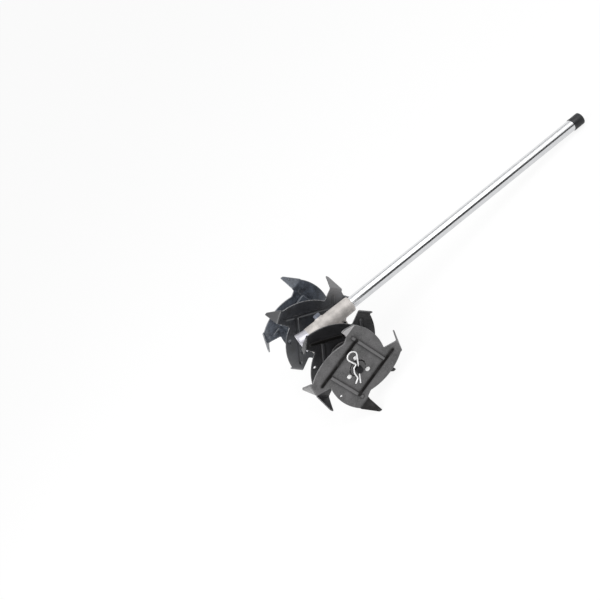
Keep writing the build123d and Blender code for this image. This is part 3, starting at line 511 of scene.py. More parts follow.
def painted(name, tone, look, roughness, gloss=1.0, wear=1.0, highlight_share=0.0):
    """Satin enamel on pressed steel: orange peel, mottling, dark soil that paints the shade in the beads,
    paler beads that are a painted highlight, and bare worn edges.

    Where the highlight share is above 0, claws that are marked so are painted towards pale steel: a painted
    highlight.
    """
    coat, soil_roughness, peel_depth_mm = 0.25, 0.85, 0.04
    # each pattern's size in mm, its detail and its roughness: the chips and the peel have their real size,
    # but real dust is finer than the specks, which have to show
    patterns = {"cloud": (22, 5.0, 0.6), "speckle": (2.6, 3.0, 0.7), "chips": (3, 4.0, 0.7),
                "peel": (1.4, 2.0, 0.55)}
    material, tree = new_material(name)
    where = tool_coordinates(tree)
    cloud, speckle, chips, peel = (
        add(tree, "TexNoise", {"Scale": 1 / mm, "Detail": detail, "Roughness": rough}, {"Vector": where})
        for mm, detail, rough in patterns.values())
    # mottled enamel, with dusty specks
    mottle = add(tree, "MapRange", {"From Min": 0.3, "From Max": 0.7}, {"Value": cloud})
    base = add(tree, "Mix", {"data_type": "RGBA", COLOUR_A: toned(tone, 0.35), COLOUR_B: toned(tone, 2.1)},
               {SHARE: mottle})
    specks = add(tree, "MapRange", {"From Min": 0.5, "From Max": 0.7, "To Max": 0.7}, {"Value": speckle})
    dusty = add(tree, "Mix", {"data_type": "RGBA", COLOUR_B: toned(tone, 3.2)},
                {SHARE: specks, COLOUR_A: base})
    # the plates' marks: the soil value is 0 to 1 where dark soil paints the shade in the beads and on a claw,
    # and below 0 where a bead is painted paler as a highlight; worn is 1 on sheared edges; the claw highlight
    # is 0 to 1 on claws painted pale
    soil_and_shade = add(tree, "Attribute", {"attribute_name": "soil_and_shade"}).outputs["Fac"]
    worn = add(tree, "Attribute", {"attribute_name": "worn"}).outputs["Fac"]
    patches = add(tree, "MapRange", {"From Min": 0.35, "From Max": 0.5, "To Min": 0.75}, {"Value": cloud})
    darkened = add(tree, "Math", {"operation": "MULTIPLY", "use_clamp": True}, {0: soil_and_shade, 1: patches})
    lightened = add(tree, "MapRange", {"From Min": -1.0, "From Max": 0.0, "To Min": 0.7, "To Max": 0.0},
                 {"Value": soil_and_shade})
    chipped = add(tree, "MapRange", {"From Min": 0.42, "From Max": 0.58, "To Max": wear}, {"Value": chips})
    bare = add(tree, "Math", {"operation": "MULTIPLY"}, {0: worn, 1: chipped})
    surface = dusty
    # dark soil as painted shade, paler beads as a painted highlight, then the bare edges
    for over, share in ((toned(look.soil_and_shade, 1), darkened), (toned(tone, 2.9), lightened),
                        (toned(look.worn_steel, 1), bare)):
        surface = add(tree, "Mix", {"data_type": "RGBA", COLOUR_B: over}, {SHARE: share, COLOUR_A: surface})
    # marked claws painted towards pale steel: a painted highlight
    if highlight_share:
        claw_highlight = add(tree, "Attribute", {"attribute_name": "claw_highlight"}).outputs["Fac"]
        patchy = add(tree, "MapRange", {"From Min": 0.3, "From Max": 0.5, "To Min": 0.7 * highlight_share,
                                        "To Max": highlight_share}, {"Value": speckle})
        rub = add(tree, "Math", {"operation": "MULTIPLY"}, {0: claw_highlight, 1: patchy})
        surface = add(tree, "Mix", {"data_type": "RGBA", COLOUR_B: toned(look.claw_highlight_steel, 1)},
                      {SHARE: rub, COLOUR_A: surface})
    # where dark soil paints the shade it doesn't shine: it loses the coat and the enamel's mirror, which a
    # dark metal surface lacks too
    satin = add(tree, "MapRange", {"From Min": 0.3, "From Max": 0.7, "To Min": roughness - 0.06,
                                   "To Max": roughness + 0.08}, {"Value": speckle})
    rough = add(tree, "Mix", {"data_type": "FLOAT", VALUE_B: soil_roughness}, {SHARE: darkened, VALUE_A: satin})
    dull = add(tree, "MapRange", {"To Min": 0.0, "To Max": 0.8}, {"Value": darkened})
    steel = add(tree, "Math", {"operation": "MULTIPLY_ADD", 1: 0.8}, {0: bare, 2: dull})
    coated = add(tree, "MapRange", {"To Min": coat, "To Max": 0.0}, {"Value": darkened})
    orange_peel = add(tree, "Bump", {"Strength": 0.6, "Distance": peel_depth_mm / 1000}, {"Height": peel})
    shader = add(tree, "BsdfPrincipled", {"Specular IOR Level": gloss, "Coat Roughness": 0.2},
                 {"Base Color": surface, "Roughness": rough, "Metallic": steel, "Coat Weight": coated,
                  "Normal": orange_peel})
    add(tree, "OutputMaterial", {}, {"Surface": shader})
    return material


def soft_plastic(name, tone, roughness):
    """Vinyl, rubber or paper with a faint grain, clouds of tint and smears that shine less.

    A dipped skin's real grain is about 0.1 mm; it is drawn coarser, so that it shows.
    """
    patterns_mm, grain_depth_mm = {"cloud": 9, "smear": 4, "grain": 0.5}, 0.03
    material, tree = new_material(name)
    where = tool_coordinates(tree)
    cloud, smear, grain = (
        add(tree, "TexNoise", {"Scale": 1 / mm, "Detail": detail, "Roughness": 0.55}, {"Vector": where})
        for mm, detail in zip(patterns_mm.values(), (4.0, 4.0, 2.0)))
    share = add(tree, "MapRange", {"From Min": 0.35, "From Max": 0.65}, {"Value": cloud})
    base = add(tree, "Mix", {"data_type": "RGBA", COLOUR_A: toned(tone, 0.7), COLOUR_B: toned(tone, 1.6)},
               {SHARE: share})
    rough = add(tree, "MapRange", {"From Min": 0.3, "From Max": 0.7, "To Min": roughness - 0.06,
                                   "To Max": roughness + 0.1}, {"Value": smear})
    moulded = add(tree, "Bump", {"Strength": 0.5, "Distance": grain_depth_mm / 1000}, {"Height": grain})
    shader = add(tree, "BsdfPrincipled", {}, {"Base Color": base, "Roughness": rough, "Normal": moulded})
    add(tree, "OutputMaterial", {}, {"Surface": shader})
    return material


def cast_metal(name, tone):
    """Sand-cast aluminium: matt, with the sand's grain, dark pits and a few grey stains.

    Moulding sand is about 0.3 mm; its grain is drawn three times as coarse, so that it shows.
    """
    sand_mm, sand_depth_mm, stain_mm = 0.9, 0.12, 16
    material, tree = new_material(name)
    where = tool_coordinates(tree)
    grain = add(tree, "TexNoise", {"Scale": 1 / sand_mm, "Detail": 4.0, "Roughness": 0.65}, {"Vector": where})
    stains = add(tree, "TexNoise", {"Scale": 1 / stain_mm, "Detail": 5.0, "Roughness": 0.6},
                 {"Vector": where})
    share = add(tree, "MapRange", {"From Min": 0.32, "From Max": 0.62}, {"Value": stains})
    base = add(tree, "Mix", {"data_type": "RGBA", COLOUR_A: toned(tone, 0.76), COLOUR_B: toned(tone, 1.12)},
               {SHARE: share})
    pits = add(tree, "MapRange", {"From Min": 0.6, "From Max": 0.72, "To Max": 0.5}, {"Value": grain})
    pitted = add(tree, "Mix", {"data_type": "RGBA", COLOUR_B: toned(tone, 0.4)},
                 {SHARE: pits, COLOUR_A: base})
    rough = add(tree, "MapRange", {"From Min": 0.3, "From Max": 0.7, "To Min": 0.46, "To Max": 0.64},
                {"Value": grain})
    sand = add(tree, "Bump", {"Strength": 0.7, "Distance": sand_depth_mm / 1000}, {"Height": grain})
    shader = add(tree, "BsdfPrincipled", {"Metallic": 0.35},
                 {"Base Color": pitted, "Roughness": rough, "Normal": sand})
    add(tree, "OutputMaterial", {}, {"Surface": shader})
    return material


MATERIALS = {}


def make_materials(look):
    """Every finish, by the record's slot or by its own name, with what it gives the eye."""
    drawn, turned, ground_on_y = (0.03, 1, 1), (1, 0.05, 0.05), (0.05, 1, 0.05)
    paper, bush, seal = linear("#55585a"), linear("#121212"), linear("#141416")
    bearing, shaft, gear, bronze = (linear(tone) for tone in ("#b8babd", "#a2a2a6", "#8c8c92", "#b8863c"))
    MATERIALS.update({
        # a mirror drawn out along the tube, so that it shows as long bright and dark lines
        "tube": metal("polished_aluminium_tube", look.tube, 0.16, drawn, 0.5, depth_mm=0.004, spread=0.06,
                      tint=0.04),
        # pale, matt and slightly warm, with a sandy grain
        "casting": cast_metal("sand_cast_aluminium", look.casting),
        # brighter and bluer than the casting, with turned rings that draw soft glints round it
        "turned_aluminium": metal("turned_aluminium", look.turned, 0.36, turned, 0.5, spread=0.1,
                                  metallic=0.55, tint=0.09),
        # a thin dull grey line between the two castings
        "gasket": soft_plastic("gasket_paper", paper, 0.8),
        # near white, soft glints: the rivets and clips are the brightest small things on the plates
        "zinc_steel": metal("bright_zinc", look.zinc, 0.3, grain_mm=1.0, depth_mm=0.004, spread=0.1,
                            metallic=0.35, tint=0.07),
        # nearly black, with a weak oily sheen
        "black_steel": metal("blackened_steel", look.black_steel, 0.42, grain_mm=0.8, spread=0.12,
                             metallic=0.6, tint=0.3),
        # a cool grey spot on the warm casting
        "plug": metal("blue_grey_plating", look.plug, 0.38, grain_mm=0.8, spread=0.1, metallic=0.6,
                      tint=0.17),
        # dull black, unlit in its bore
        "bush_rubber": soft_plastic("bush_rubber", bush, 0.7),
        # black with a slight sheen round the axle
        "seal_rubber": soft_plastic("seal_rubber", seal, 0.55),
        # bright rings
        "bearing_steel": metal("ground_bearing_steel", bearing, 0.22, ground_on_y, 0.3, depth_mm=0.002),
        # grey, with draw lines along the shaft
        "shaft_steel": metal("drawn_steel", shaft, 0.34, drawn, 0.4, depth_mm=0.006),
        # darker grey, ground across its teeth
        "gear_steel": metal("ground_gear_steel", gear, 0.3, (1, 0.1, 0.1), 0.3, depth_mm=0.004),
        # warm yellow brown, with cutter marks
        "bronze": metal("cut_bronze", bronze, 0.34, (1, 0.2, 1), 0.4, depth_mm=0.006),
        # black between the plates, with bare specks at its edges
        "hub_paint": painted("black_hub_paint", look.hub_paint, look, 0.42),
        # mid grey satin that turns bright where a claw leans away from the light; its marked claw is painted
        # pale as a highlight
        "outer_paint": painted("satin_grey_paint", look.outer_paint, look, 0.32, gloss=1.1, wear=0.5,
                               highlight_share=0.9),
        # deep matt black behind the grey plate: painted shade, as all the plates share one paint; its marked
        # claws are painted pale as a highlight
        "inner_paint": painted("shade_darkened_black_paint", look.inner_paint, look, 0.42, gloss=0.5, wear=0.4,
                               highlight_share=0.9),
        # cool blue black: a tinted copy of the plate paint, painted shade
        "left_outer_shaded_paint": painted("shade_tinted_left_paint", look.left_outer_shaded_paint, look, 0.32),
        # the same, darker and duller: painted shade on the inner left plate, with its marked claws painted
        # pale as a highlight
        "left_inner_shaded_paint": painted("deep_shade_tinted_left_paint", look.left_inner_shaded_paint, look, 0.36, gloss=0.5,
                                    highlight_share=0.9),
        # black and smooth, with a soft round glint
        "cap_vinyl": soft_plastic("dipped_vinyl", look.cap, 0.34),
    })


# ------------------------------------------------------------------ repeated parts
def repeat_tree(name, inputs):
    """A new tree of geometry nodes with these inputs, and the sockets that give them."""
    tree = bpy.data.node_groups.new(name, "GeometryNodeTree")
    for label, kind in inputs.items():
        tree.interface.new_socket(label, in_out="INPUT", socket_type="NodeSocket" + kind)
    tree.interface.new_socket("Result", in_out="OUTPUT", socket_type="NodeSocketGeometry")
    return tree, add(tree, "NodeGroupInput").outputs


def set_parts(tree, given, placed):
    """Ends the tree: the part on each of the points, as real faces with its finish."""
    part = add(tree, "GeometryNodeObjectInfo", {}, {"Object": given["Part"]})
    copies = add(tree, "GeometryNodeInstanceOnPoints", {}, {"Instance": part.outputs["Geometry"], **placed})
    real = add(tree, "GeometryNodeRealizeInstances", {}, {"Geometry": copies})
    coated = add(tree, "GeometryNodeSetMaterial", {}, {"Geometry": real, "Material": given["Finish"]})
    add(tree, "NodeGroupOutput", {}, {0: coated})
    return tree


def ring_tree(name):
    """Geometry nodes that set parts round a circle, each turned with its place."""
    tree, given = repeat_tree(name, {"Part": "Object", "Count": "Int", "Radius": "Float",
                                     "First angle": "Float", "Finish": "Material"})
    step = add(tree, "Math", {"operation": "DIVIDE", 0: 2 * pi}, {1: given["Count"]})
    place = add(tree, "GeometryNodeInputIndex")
    turn = add(tree, "Math", {"operation": "MULTIPLY_ADD"}, {0: place, 1: step, 2: given["First angle"]})
    across = add(tree, "Math", {"operation": "COSINE"}, {0: turn})
    up = add(tree, "Math", {"operation": "SINE"}, {0: turn})
    way = add(tree, "CombineXYZ", {}, {"X": across, "Y": up})
    spot = add(tree, "VectorMath", {"operation": "SCALE"}, {0: way, "Scale": given["Radius"]})
    points = add(tree, "GeometryNodePoints", {}, {"Count": given["Count"], "Position": spot})
    euler = add(tree, "CombineXYZ", {}, {"Z": turn})
    turned = add(tree, "FunctionNodeEulerToRotation", {}, {0: euler})
    return set_parts(tree, given, {"Points": points, "Rotation": turned})


def spots_tree(name):
    """Geometry nodes that set one part, unturned, at each point of a mesh."""
    tree, given = repeat_tree(name, {"Spots": "Geometry", "Part": "Object", "Finish": "Material"})
    points = add(tree, "GeometryNodeMeshToPoints", {}, {"Mesh": given["Spots"]})
    return set_parts(tree, given, {"Points": points})


def repeated(part, coat=None, spots=(), ring=None):
    """One mesh with the part at each spot, or round a ring of (count, radius, first angle in degrees)."""
    make, name = (ring_tree, "parts_in_a_ring") if ring else (spots_tree, "parts_at_spots")
    tree = bpy.data.node_groups.get(name) or make(name)
    points = bpy.data.meshes.new("spots")
    points.from_pydata([tuple(spot) for spot in spots], [], [])
    holder, source = obj_from("repeating", points), obj_from("repeat_source", part)
    modifier = holder.modifiers.new("copies", "NODES")
    modifier.node_group = tree
    values = {"Part": source, "Finish": MATERIALS.get(coat)}
    if ring:
        count, radius, first = ring
        values.update({"Count": count, "Radius": float(radius), "First angle": radians(first)})
    sockets = {item.name: item.identifier for item in tree.interface.items_tree if item.in_out == "INPUT"}
    for name, value in values.items():
        modifier[sockets[name]] = value
    mesh = baked(holder)
    bpy.data.objects.remove(source)
    return mesh


def socket_screw(d, shank_length):
    """A socket-head screw on Z, its knurled head's underside at z = 0."""
    head_r, head_h, ribs, rib_rise, overlap = d * 0.8, d * 0.9, 36, 0.12, 0.05
    # radius, height, and how far the ribs stand out there
    outline = ((head_r - 0.1, 0.0, 0), (head_r, 0.15, rib_rise), (head_r, head_h * 0.8, rib_rise),
               (head_r - 0.25, head_h * 0.9, 0), (head_r - head_h / 8 - 0.2, head_h, 0))
    bm = bmesh.new()
    loops = []
    for r, z, rise in outline:
        turns = [(pi * i / ribs, r + rise * (i % 2)) for i in range(ribs * 2)]
        loops.append([bm.verts.new((reach * cos(a), reach * sin(a), z)) for a, reach in turns])
    for low, high in zip(loops, loops[1:]):
        skin(bm, low, high, ribs * 2)
    bm.faces.new(loops[0])
    bm.faces.new(loops[-1])
    socket = prism(hexagon(d * 0.75), head_h / 2, head_h + 1)
    head = combine(mesh_from(bm), [socket], "DIFFERENCE")
    shank = lathe([(0, -shank_length), (d / 2, -shank_length, 0.4), (d / 2, overlap), (0, overlap)], 24)
    return joined([head, shank])


# ------------------------------------------------------------------ tine plates
# Claws, each in its own axes in mm: x out along the claw and y clockwise from it. A claw's leading edge has
# a corner (lead, rounded by heel) or is a curve through one point (edge); fold is a point on its fold's
# line, which is turned by fold_turn; its bead ends at bead_end.
NOTCH = (62.0, 24.0)
CREST = (24.4, 75.1)
MILD = dict(lead=(66.5, 39.5), heel=8.0, tip=(104.0, 43.0), back=(101.5, 49.5), shoulder=(70.5, 66.5),
            fold=(68.0, 54.0), fold_turn=0.0, bead_end=54.0)
STEEP = dict(edge=(88.0, 39.6), tip=(118.6, 56.4), back=(113.2, 61.0), shoulder=(73.5, 65.8),
             fold=(80.1, 51.9), fold_turn=24.1, bead_end=68.0)
NOTCH_ROUND = 4.0
TIP_ROUND = 1.4
LONGEST_ROUND = 9.0
HANG_HOLE, HANG_HOLE_R = (9.8, -65.7), 2.75
# painted light on single claws: the claw and its outer (1) or inner (-1) face, then what the face carries,
# how much of it at the tip, and where it starts, in mm past the fold. A pale claw is a painted highlight;
# the soil on the outer plate's first claw is painted shade where it bends away from the light
OUTER_CLAW_LIGHT_AND_SHADE = {(2, 1): ("claw_highlight", 1.0, 0), (0, 1): ("soil_and_shade", 0.85, -3)}
INNER_CLAW_HIGHLIGHTS = {(2, -1): ("claw_highlight", 0.3, -26), (1, -1): ("claw_highlight", 0.07, 0)}
# what a fold bends: as far as this to each side of its middle, and past it
FLAP_HALF = 22.0
FLAP_REACH = 60.0
# between points: along an outline, round its corners, across a fold, along a bead and over the open plate
EDGE_STEP, ROUND_STEP, FOLD_STEP, BEAD_STEP, OPEN_STEP = 1.6, 0.9, 1.8, 2.6, 3.4


def swung(x, y, a):
    """A point turned about the origin."""
    return x * cos(a) - y * sin(a), x * sin(a) + y * cos(a)


def plate_point(point, k):
    """From claw k's own axes to the plate's."""
    return Vector(swung(point[0], -point[1], radians(-90 * k)))


def arc_through(a, b, c):
    """Points from a to c on the circle through b."""
    ax, ay, bx, by, cx, cy = *a, *b, *c
    aa, bb, cc = ax * ax + ay * ay, bx * bx + by * by, cx * cx + cy * cy
    d = 2 * (ax * (by - cy) + bx * (cy - ay) + cx * (ay - by))
    centre = Vector(((aa * (by - cy) + bb * (cy - ay) + cc * (ay - by)) / d,
                     (aa * (cx - bx) + bb * (ax - cx) + cc * (bx - ax)) / d))
    r = (a - centre).length
    start, middle, stop = (atan2(*(p - centre).yx) for p in (a, b, c))
    sweep = (stop - start) % (2 * pi)
    if (middle - start) % (2 * pi) > sweep:
        sweep -= 2 * pi
    count = max(3, ceil(abs(sweep) * r / EDGE_STEP))
    return [centre + r * Vector((cos(start + sweep * i / count), sin(start + sweep * i / count)))
            for i in range(count + 1)]


def line_between(a, b):
    """Points from a to b."""
    count = max(1, ceil((b - a).length / EDGE_STEP))
    return [a.lerp(b, i / count) for i in range(count + 1)]


def on_bend(a, corner, b, t):
    """A point of the curve that leaves a towards the corner and reaches b from it."""
    return a * (1 - t) ** 2 + corner * 2 * t * (1 - t) + b * t ** 2


def trimmed(run, cut):
    """The run without its last stretch of that length."""
    points = list(run)
    while len(points) > 1:
        last = (points[-1] - points[-2]).length
        if last > cut:
            points[-1] = points[-1].lerp(points[-2], cut / last)
            return points
        cut -= last
        points.pop()
    return points


def rounded_join(first, second, radius):
    """Two runs that meet at a corner, trimmed back from it, and the curve that joins them."""
    if radius <= 0:
        return first, second, []
    corner = first[-1]
    way_in = (corner - first[-2]).normalized()
    way_out = (second[1] - corner).normalized()
    turn = abs(way_in.angle_signed(way_out, 0.0))
    reach = min(radius * tan(turn / 2), LONGEST_ROUND)
    cut_first = trimmed(first, reach)
    cut_second = trimmed(second[::-1], reach)[::-1]
    a, b = cut_first[-1], cut_second[0]
    steps = max(3, ceil((b - a).length / ROUND_STEP))
    return cut_first, cut_second, [on_bend(a, corner, b, i / steps) for i in range(1, steps)]


def plate_outline(styles):
    """The flat plate's outline, claw after claw, with its corners rounded."""
    runs, corners = [], []
    for k, claw in enumerate(styles):
        start, stop = plate_point(NOTCH, k), plate_point(NOTCH, k + 1)
        tip, back, shoulder = (plate_point(claw[part], k) for part in ("tip", "back", "shoulder"))
        if "lead" in claw:
            heel = plate_point(claw["lead"], k)
            runs += [line_between(start, heel), line_between(heel, tip)]
            corners += [claw["heel"], TIP_ROUND]
        else:
            runs.append(arc_through(start, plate_point(claw["edge"], k), tip))
            corners.append(TIP_ROUND)
        runs += [line_between(tip, back), line_between(back, shoulder)]
        corners += [TIP_ROUND, 0.0]
        runs.append(arc_through(shoulder, plate_point(CREST, k), stop))
        corners.append(NOTCH_ROUND)
    bends = [None] * len(runs)
    for i in range(len(runs)):
        j = (i + 1) % len(runs)
        runs[i], runs[j], bends[i] = rounded_join(runs[i], runs[j], corners[i])
    outline = []
    for run, bend in zip(runs, bends):
        outline += run + bend if bend else run[:-1]
    return outline


class Fold:
    """One claw's fold: where it lies in the plate and what it does to points beyond it."""

    def __init__(self, claw, k, lift, sizes):
        self.origin = plate_point(claw["fold"], k)
        a = radians(-90 * k - claw["fold_turn"])
        self.x_dir, self.y_dir = Vector((cos(a), sin(a))), Vector((-sin(a), cos(a)))
        self.bend = radians(sizes.mild_bend if claw is MILD else sizes.steep_bend)
        self.rho = sizes.bend_r + sizes.sheet / 2
        self.length = self.rho * self.bend
        self.lift = lift

    def local(self, p):
        """How far a point of the flat plate lies past the fold's start, and to one side of its middle."""
        d = p - self.origin
        return d.dot(self.x_dir), d.dot(self.y_dir)

    def has(self, x, y, extra=0.0):
        """True where the fold bends the plate; extra is how much longer the flap has grown."""
        return 0 < x < FLAP_REACH + extra and abs(y) < FLAP_HALF

    def stretched(self, outline):
        """The outline with the flap moved out by the fold's own length."""
        result = []
        for i, p in enumerate(outline):
            x, y = self.local(p)
            inside = self.has(x, y)
            before = outline[i - 1]
            before_x, before_y = self.local(before)
            if inside != self.has(before_x, before_y) and abs(x - before_x) > 1e-9:
                crossing = before.lerp(p, (0 - before_x) / (x - before_x))
                pair = [crossing + self.x_dir * self.length * share for share in (0, 0.25, 0.5, 0.75, 1)]
                result += pair if inside else pair[::-1]
            result.append(p + self.x_dir * self.length if inside else p)
        return result

    def place(self, x, h):
        """Where a point x past the fold's start and h above the mid-surface ends up: (x, height)."""
        sign = 1 if self.lift else -1
        a = min(x / self.rho, self.bend)
        run = max(0.0, x - self.length)
        arm = self.rho - sign * h
        return arm * sin(a) + run * cos(a), sign * (self.rho - arm * cos(a) + run * sin(a))


def ramp(distance, half, rise):
    """1 in the middle of a band, falling smoothly to 0 over its last stretch of that rise."""
    t = max(0.0, min(1.0, (half - distance) / rise))
    return t * t * (3 - 2 * t)


def bead_distances(p, styles, sizes):
    """From a point of the plate to the middle line of each bead."""
    found = []
    for k, claw in enumerate(styles):
        x, y = swung(p.x, p.y, radians(90 * k))
        along = max(-sizes.bead_square, min(claw["bead_end"], x))
        found.append(hypot(x - along, y + sizes.bead_square))
    return found


def bead_rise(p, styles, sizes):
    """Height of the pressed beads at a point of the plate."""
    half, slope = sizes.bead_width / 2, sizes.bead_width * 0.28
    return max(ramp(d, half, slope) for d in bead_distances(p, styles, sizes)) * sizes.bead_height


def bead_shading(p, styles, sizes):
    """Painted shade drawn as dried soil: it darkens the foot of every bead and the whole of every second one,
    those that run one way; the others are painted paler as a highlight.
    """
    half = sizes.bead_width / 2
    best = lightened = 0.0
    for k, distance in enumerate(bead_distances(p, styles, sizes)):
        foot = max(0.0, 1 - abs(distance - half * 0.95) / (half * 0.45))
        darkened = ramp(distance, half * 1.15, half * 0.5) if k % 2 else 0.0
        best = max(best, foot * 0.6, darkened)
        lightened = max(lightened, 0.0 if k % 2 else ramp(distance, half * 0.75, half * 0.4))
    return best if best > 0.3 else best - lightened


def inset_loop(loop, distance):
    """The loop moved to its left by a distance."""
    result = []
    for i, p in enumerate(loop):
        ahead = (loop[(i + 1) % len(loop)] - p).normalized()
        behind = (p - loop[i - 1]).normalized()
        along = (ahead + behind).normalized()
        result.append(p + Vector((-along.y, along.x)) * distance)
    return result


def thinned(loop, least=0.35):
    """The loop without points that lie nearer than that to the one before."""
    result = []
    for p in loop:
        if not result or (p - result[-1]).length > least:
            result.append(p)
    if (result[0] - result[-1]).length < least:
        result.pop()
    return result


def area(loop):
    """The area inside a loop, negative where it runs clockwise."""
    return sum(p.x * q.y - q.x * p.y for p, q in zip(loop, loop[1:] + loop[:1])) / 2


def is_inside(p, loop):
    """True where the point lies within the loop."""
    inside = False
    for a, b in zip(loop, loop[1:] + loop[:1]):
        if (a.y > p.y) != (b.y > p.y) and p.x < (b.x - a.x) * (p.y - a.y) / (b.y - a.y) + a.x:
            inside = not inside
    return inside


class Spread:
    """Keeps points that lie clear of the plate's edges and of each other."""
    edge_room, cell = 1.0, 2
    beside = [(i, j) for i in (-1, 0, 1) for j in (-1, 0, 1)]

    def __init__(self, loops):
        self.kept, self.cells = [], {}
        self.edge = KDTree(sum(len(loop) for loop in loops))
        for i, p in enumerate(p for loop in loops for p in loop):
            self.edge.insert((p.x, p.y, 0), i)
        self.edge.balance()

    def keep(self, points, least):
        """Keeps those that lie no nearer than that to one kept before."""
        for p in points:
            column, row = int(p.x // self.cell), int(p.y // self.cell)
            near = [q for i, j in self.beside for q in self.cells.get((column + i, row + j), ())]
            if self.edge.find((p.x, p.y, 0))[2] < self.edge_room:
                continue
            if all((p - q).length >= least for q in near):
                self.kept.append(p)
                self.cells.setdefault((column, row), []).append(p)


def surface_points(loops, folds, styles, sizes):
    """Points on the plate's face: rows across each fold and along each bead, then an even grid."""
    rows = []
    for fold in folds:
        for step in range(7):
            x = fold.length * step / 6
            rows += [fold.origin + fold.x_dir * x + fold.y_dir * y * FOLD_STEP for y in range(-12, 13)]
    square, half = sizes.bead_square, sizes.bead_width / 2
    for k, claw in enumerate(styles):
        count = int((claw["bead_end"] + square) / BEAD_STEP)
        for offset in (-1.15, -0.95, -0.72, -0.5, -0.28, 0, 0.28, 0.5, 0.72, 0.95, 1.15):
            rows += [Vector(swung(-square + i * BEAD_STEP, -square + offset * half, radians(-90 * k)))
                     for i in range(-2, count + 3)]
    grid = [Vector((OPEN_STEP * (i + 0.5 * (j % 2)), OPEN_STEP * 0.866 * j))
            for i in range(-38, 39) for j in range(-44, 45)]
    spread = Spread(loops)
    spread.keep(rows, 0.55)
    spread.keep(grid, 1.9)
    return spread.kept


def plate_mesh(styles, lifts, wear, sizes):
    """A pressed and folded plate, its inner face on z = 0 and its outer one up."""
    folds = [Fold(claw, k, lift, sizes) for k, (claw, lift) in enumerate(zip(styles, lifts))]
    outline = plate_outline(styles)
    for fold in folds:
        outline = fold.stretched(outline)
    outline = thinned(outline)
    if area(outline) < 0:
        outline.reverse()
    loops = [outline]
    holes = ((Vector((0, 0)), sizes.hub_boss_d / 2, 64), (Vector(HANG_HOLE), HANG_HOLE_R, 24))
    for centre, r, count in holes:
        turns = [-2 * pi * i / count for i in range(count)]
        loops.append([centre + r * Vector((cos(a), sin(a))) for a in turns])
    insets = [inset_loop(loop, sizes.edge) for loop in loops]

    # the flat plate as triangles, between its rounded edges
    points, edges = [], []
    for loop in insets:
        first = len(points)
        points += loop
        edges += [(first + i, first + (i + 1) % len(loop)) for i in range(len(loop))]
    points += [p for p in surface_points(insets, folds, styles, sizes)
               if is_inside(p, outline) and all((p - centre).length > r for centre, r, _ in holes)]
    flat, _, triangles, origins, _, _ = delaunay_2d_cdt(points, edges, [], 1, 1e-5)

    def pressed(p, h):
        """Where a point h above the flat mid-surface lies once the plate is pressed and folded."""
        h += bead_rise(p, styles, sizes)
        for fold in folds:
            x, y = fold.local(p)
            if fold.has(x, y, fold.length):
                out, up = fold.place(x, h)
                q = fold.origin + fold.x_dir * out + fold.y_dir * y
                return Vector((q.x, q.y, thick + up))
        return Vector((p.x, p.y, thick + h))

    bm = bmesh.new()
    thick = sizes.sheet / 2
    worn, soil_and_shade, claw_highlight = (bm.verts.layers.float.new(layer) for layer in ("worn", "soil_and_shade", "claw_highlight"))
    top = [bm.verts.new(pressed(p, thick)) for p in flat]
    low = [bm.verts.new(pressed(p, -thick)) for p in flat]
    # the beads' painted shade and painted highlight
    for p, v in zip(flat, top):
        v[soil_and_shade] = bead_shading(p, styles, sizes)
    # single claws painted pale as a highlight, or dark with soil as painted shade
    for (k, side), (layer, most, start) in wear.items():
        for p, v in zip(flat, top if side > 0 else low):
            x, y = folds[k].local(p)
            share = min(1.0, (x - start) / (folds[k].length - start))
            if share > 0 and x < FLAP_REACH and abs(y) < FLAP_HALF:
                v[soil_and_shade if layer == "soil_and_shade" else claw_highlight] = most * share
    for triangle in triangles:
        middle = sum((flat[i] for i in triangle), Vector((0, 0))) / 3
        if all((middle - centre).length >= r + sizes.edge * 0.5 for centre, r, _ in holes):
            bm.faces.new([top[i] for i in triangle])
            bm.faces.new([low[i] for i in reversed(triangle)])

    # its edges, rounded from the outer face to the inner one
    number = {origin: i for i, found in enumerate(origins) for origin in found}
    first = 0
    for loop in loops:
        ids = [number[first + i] for i in range(len(loop))]
        first += len(loop)
        rings = [[top[i] for i in ids]]
        for side, turn in ((1, 35), (1, 65), (1, 90), (-1, 90), (-1, 65), (-1, 35)):
            inward, down = sizes.edge * (1 - sin(radians(turn))), sizes.edge * (1 - cos(radians(turn)))
            ring = [bm.verts.new(pressed(p, side * (thick - down))) for p in inset_loop(loop, inward)]
            for v in ring:
                v[worn] = 1.0
            rings.append(ring)
        rings.append([low[i] for i in ids])
        for upper, lower in zip(rings, rings[1:]):
            skin(bm, upper, lower, len(loop))
    return mesh_from(bm)


def outward_frame(turn, reach):
    """On the right-hand side, that far out: x across the axle at that angle in degrees, z outwards."""
    a = radians(turn)
    x_dir, z_dir = Vector((cos(a), 0, sin(a))), Vector((0, -1, 0))
    turned = Matrix((x_dir, z_dir.cross(x_dir), z_dir)).transposed().to_4x4()
    return Matrix.Translation((0, -reach, 0)) @ turned


class OuterTines(bpy.types.Operator):
    """Builds the two outer plates, with mild and steep claws by turns"""
    bl_idname = "cultivator.outer_tines"
    bl_label = "Outer tine plates"

    def execute(self, context):
        s = sizes_of(context.scene.tine_sizes)
        mesh = plate_mesh((MILD, STEEP, MILD, STEEP), (True, False, True, False), OUTER_CLAW_LIGHT_AND_SHADE, s)
        mesh.transform(outward_frame(s.first_claw, s.outer_reach - s.sheet / 2))
        # the left plate takes a bluer copy of the paint: painted shade
        finish_sides("outer_plate", mesh, "outer_paint", "outer_tines", "left_outer_shaded_paint")
        return {"FINISHED"}


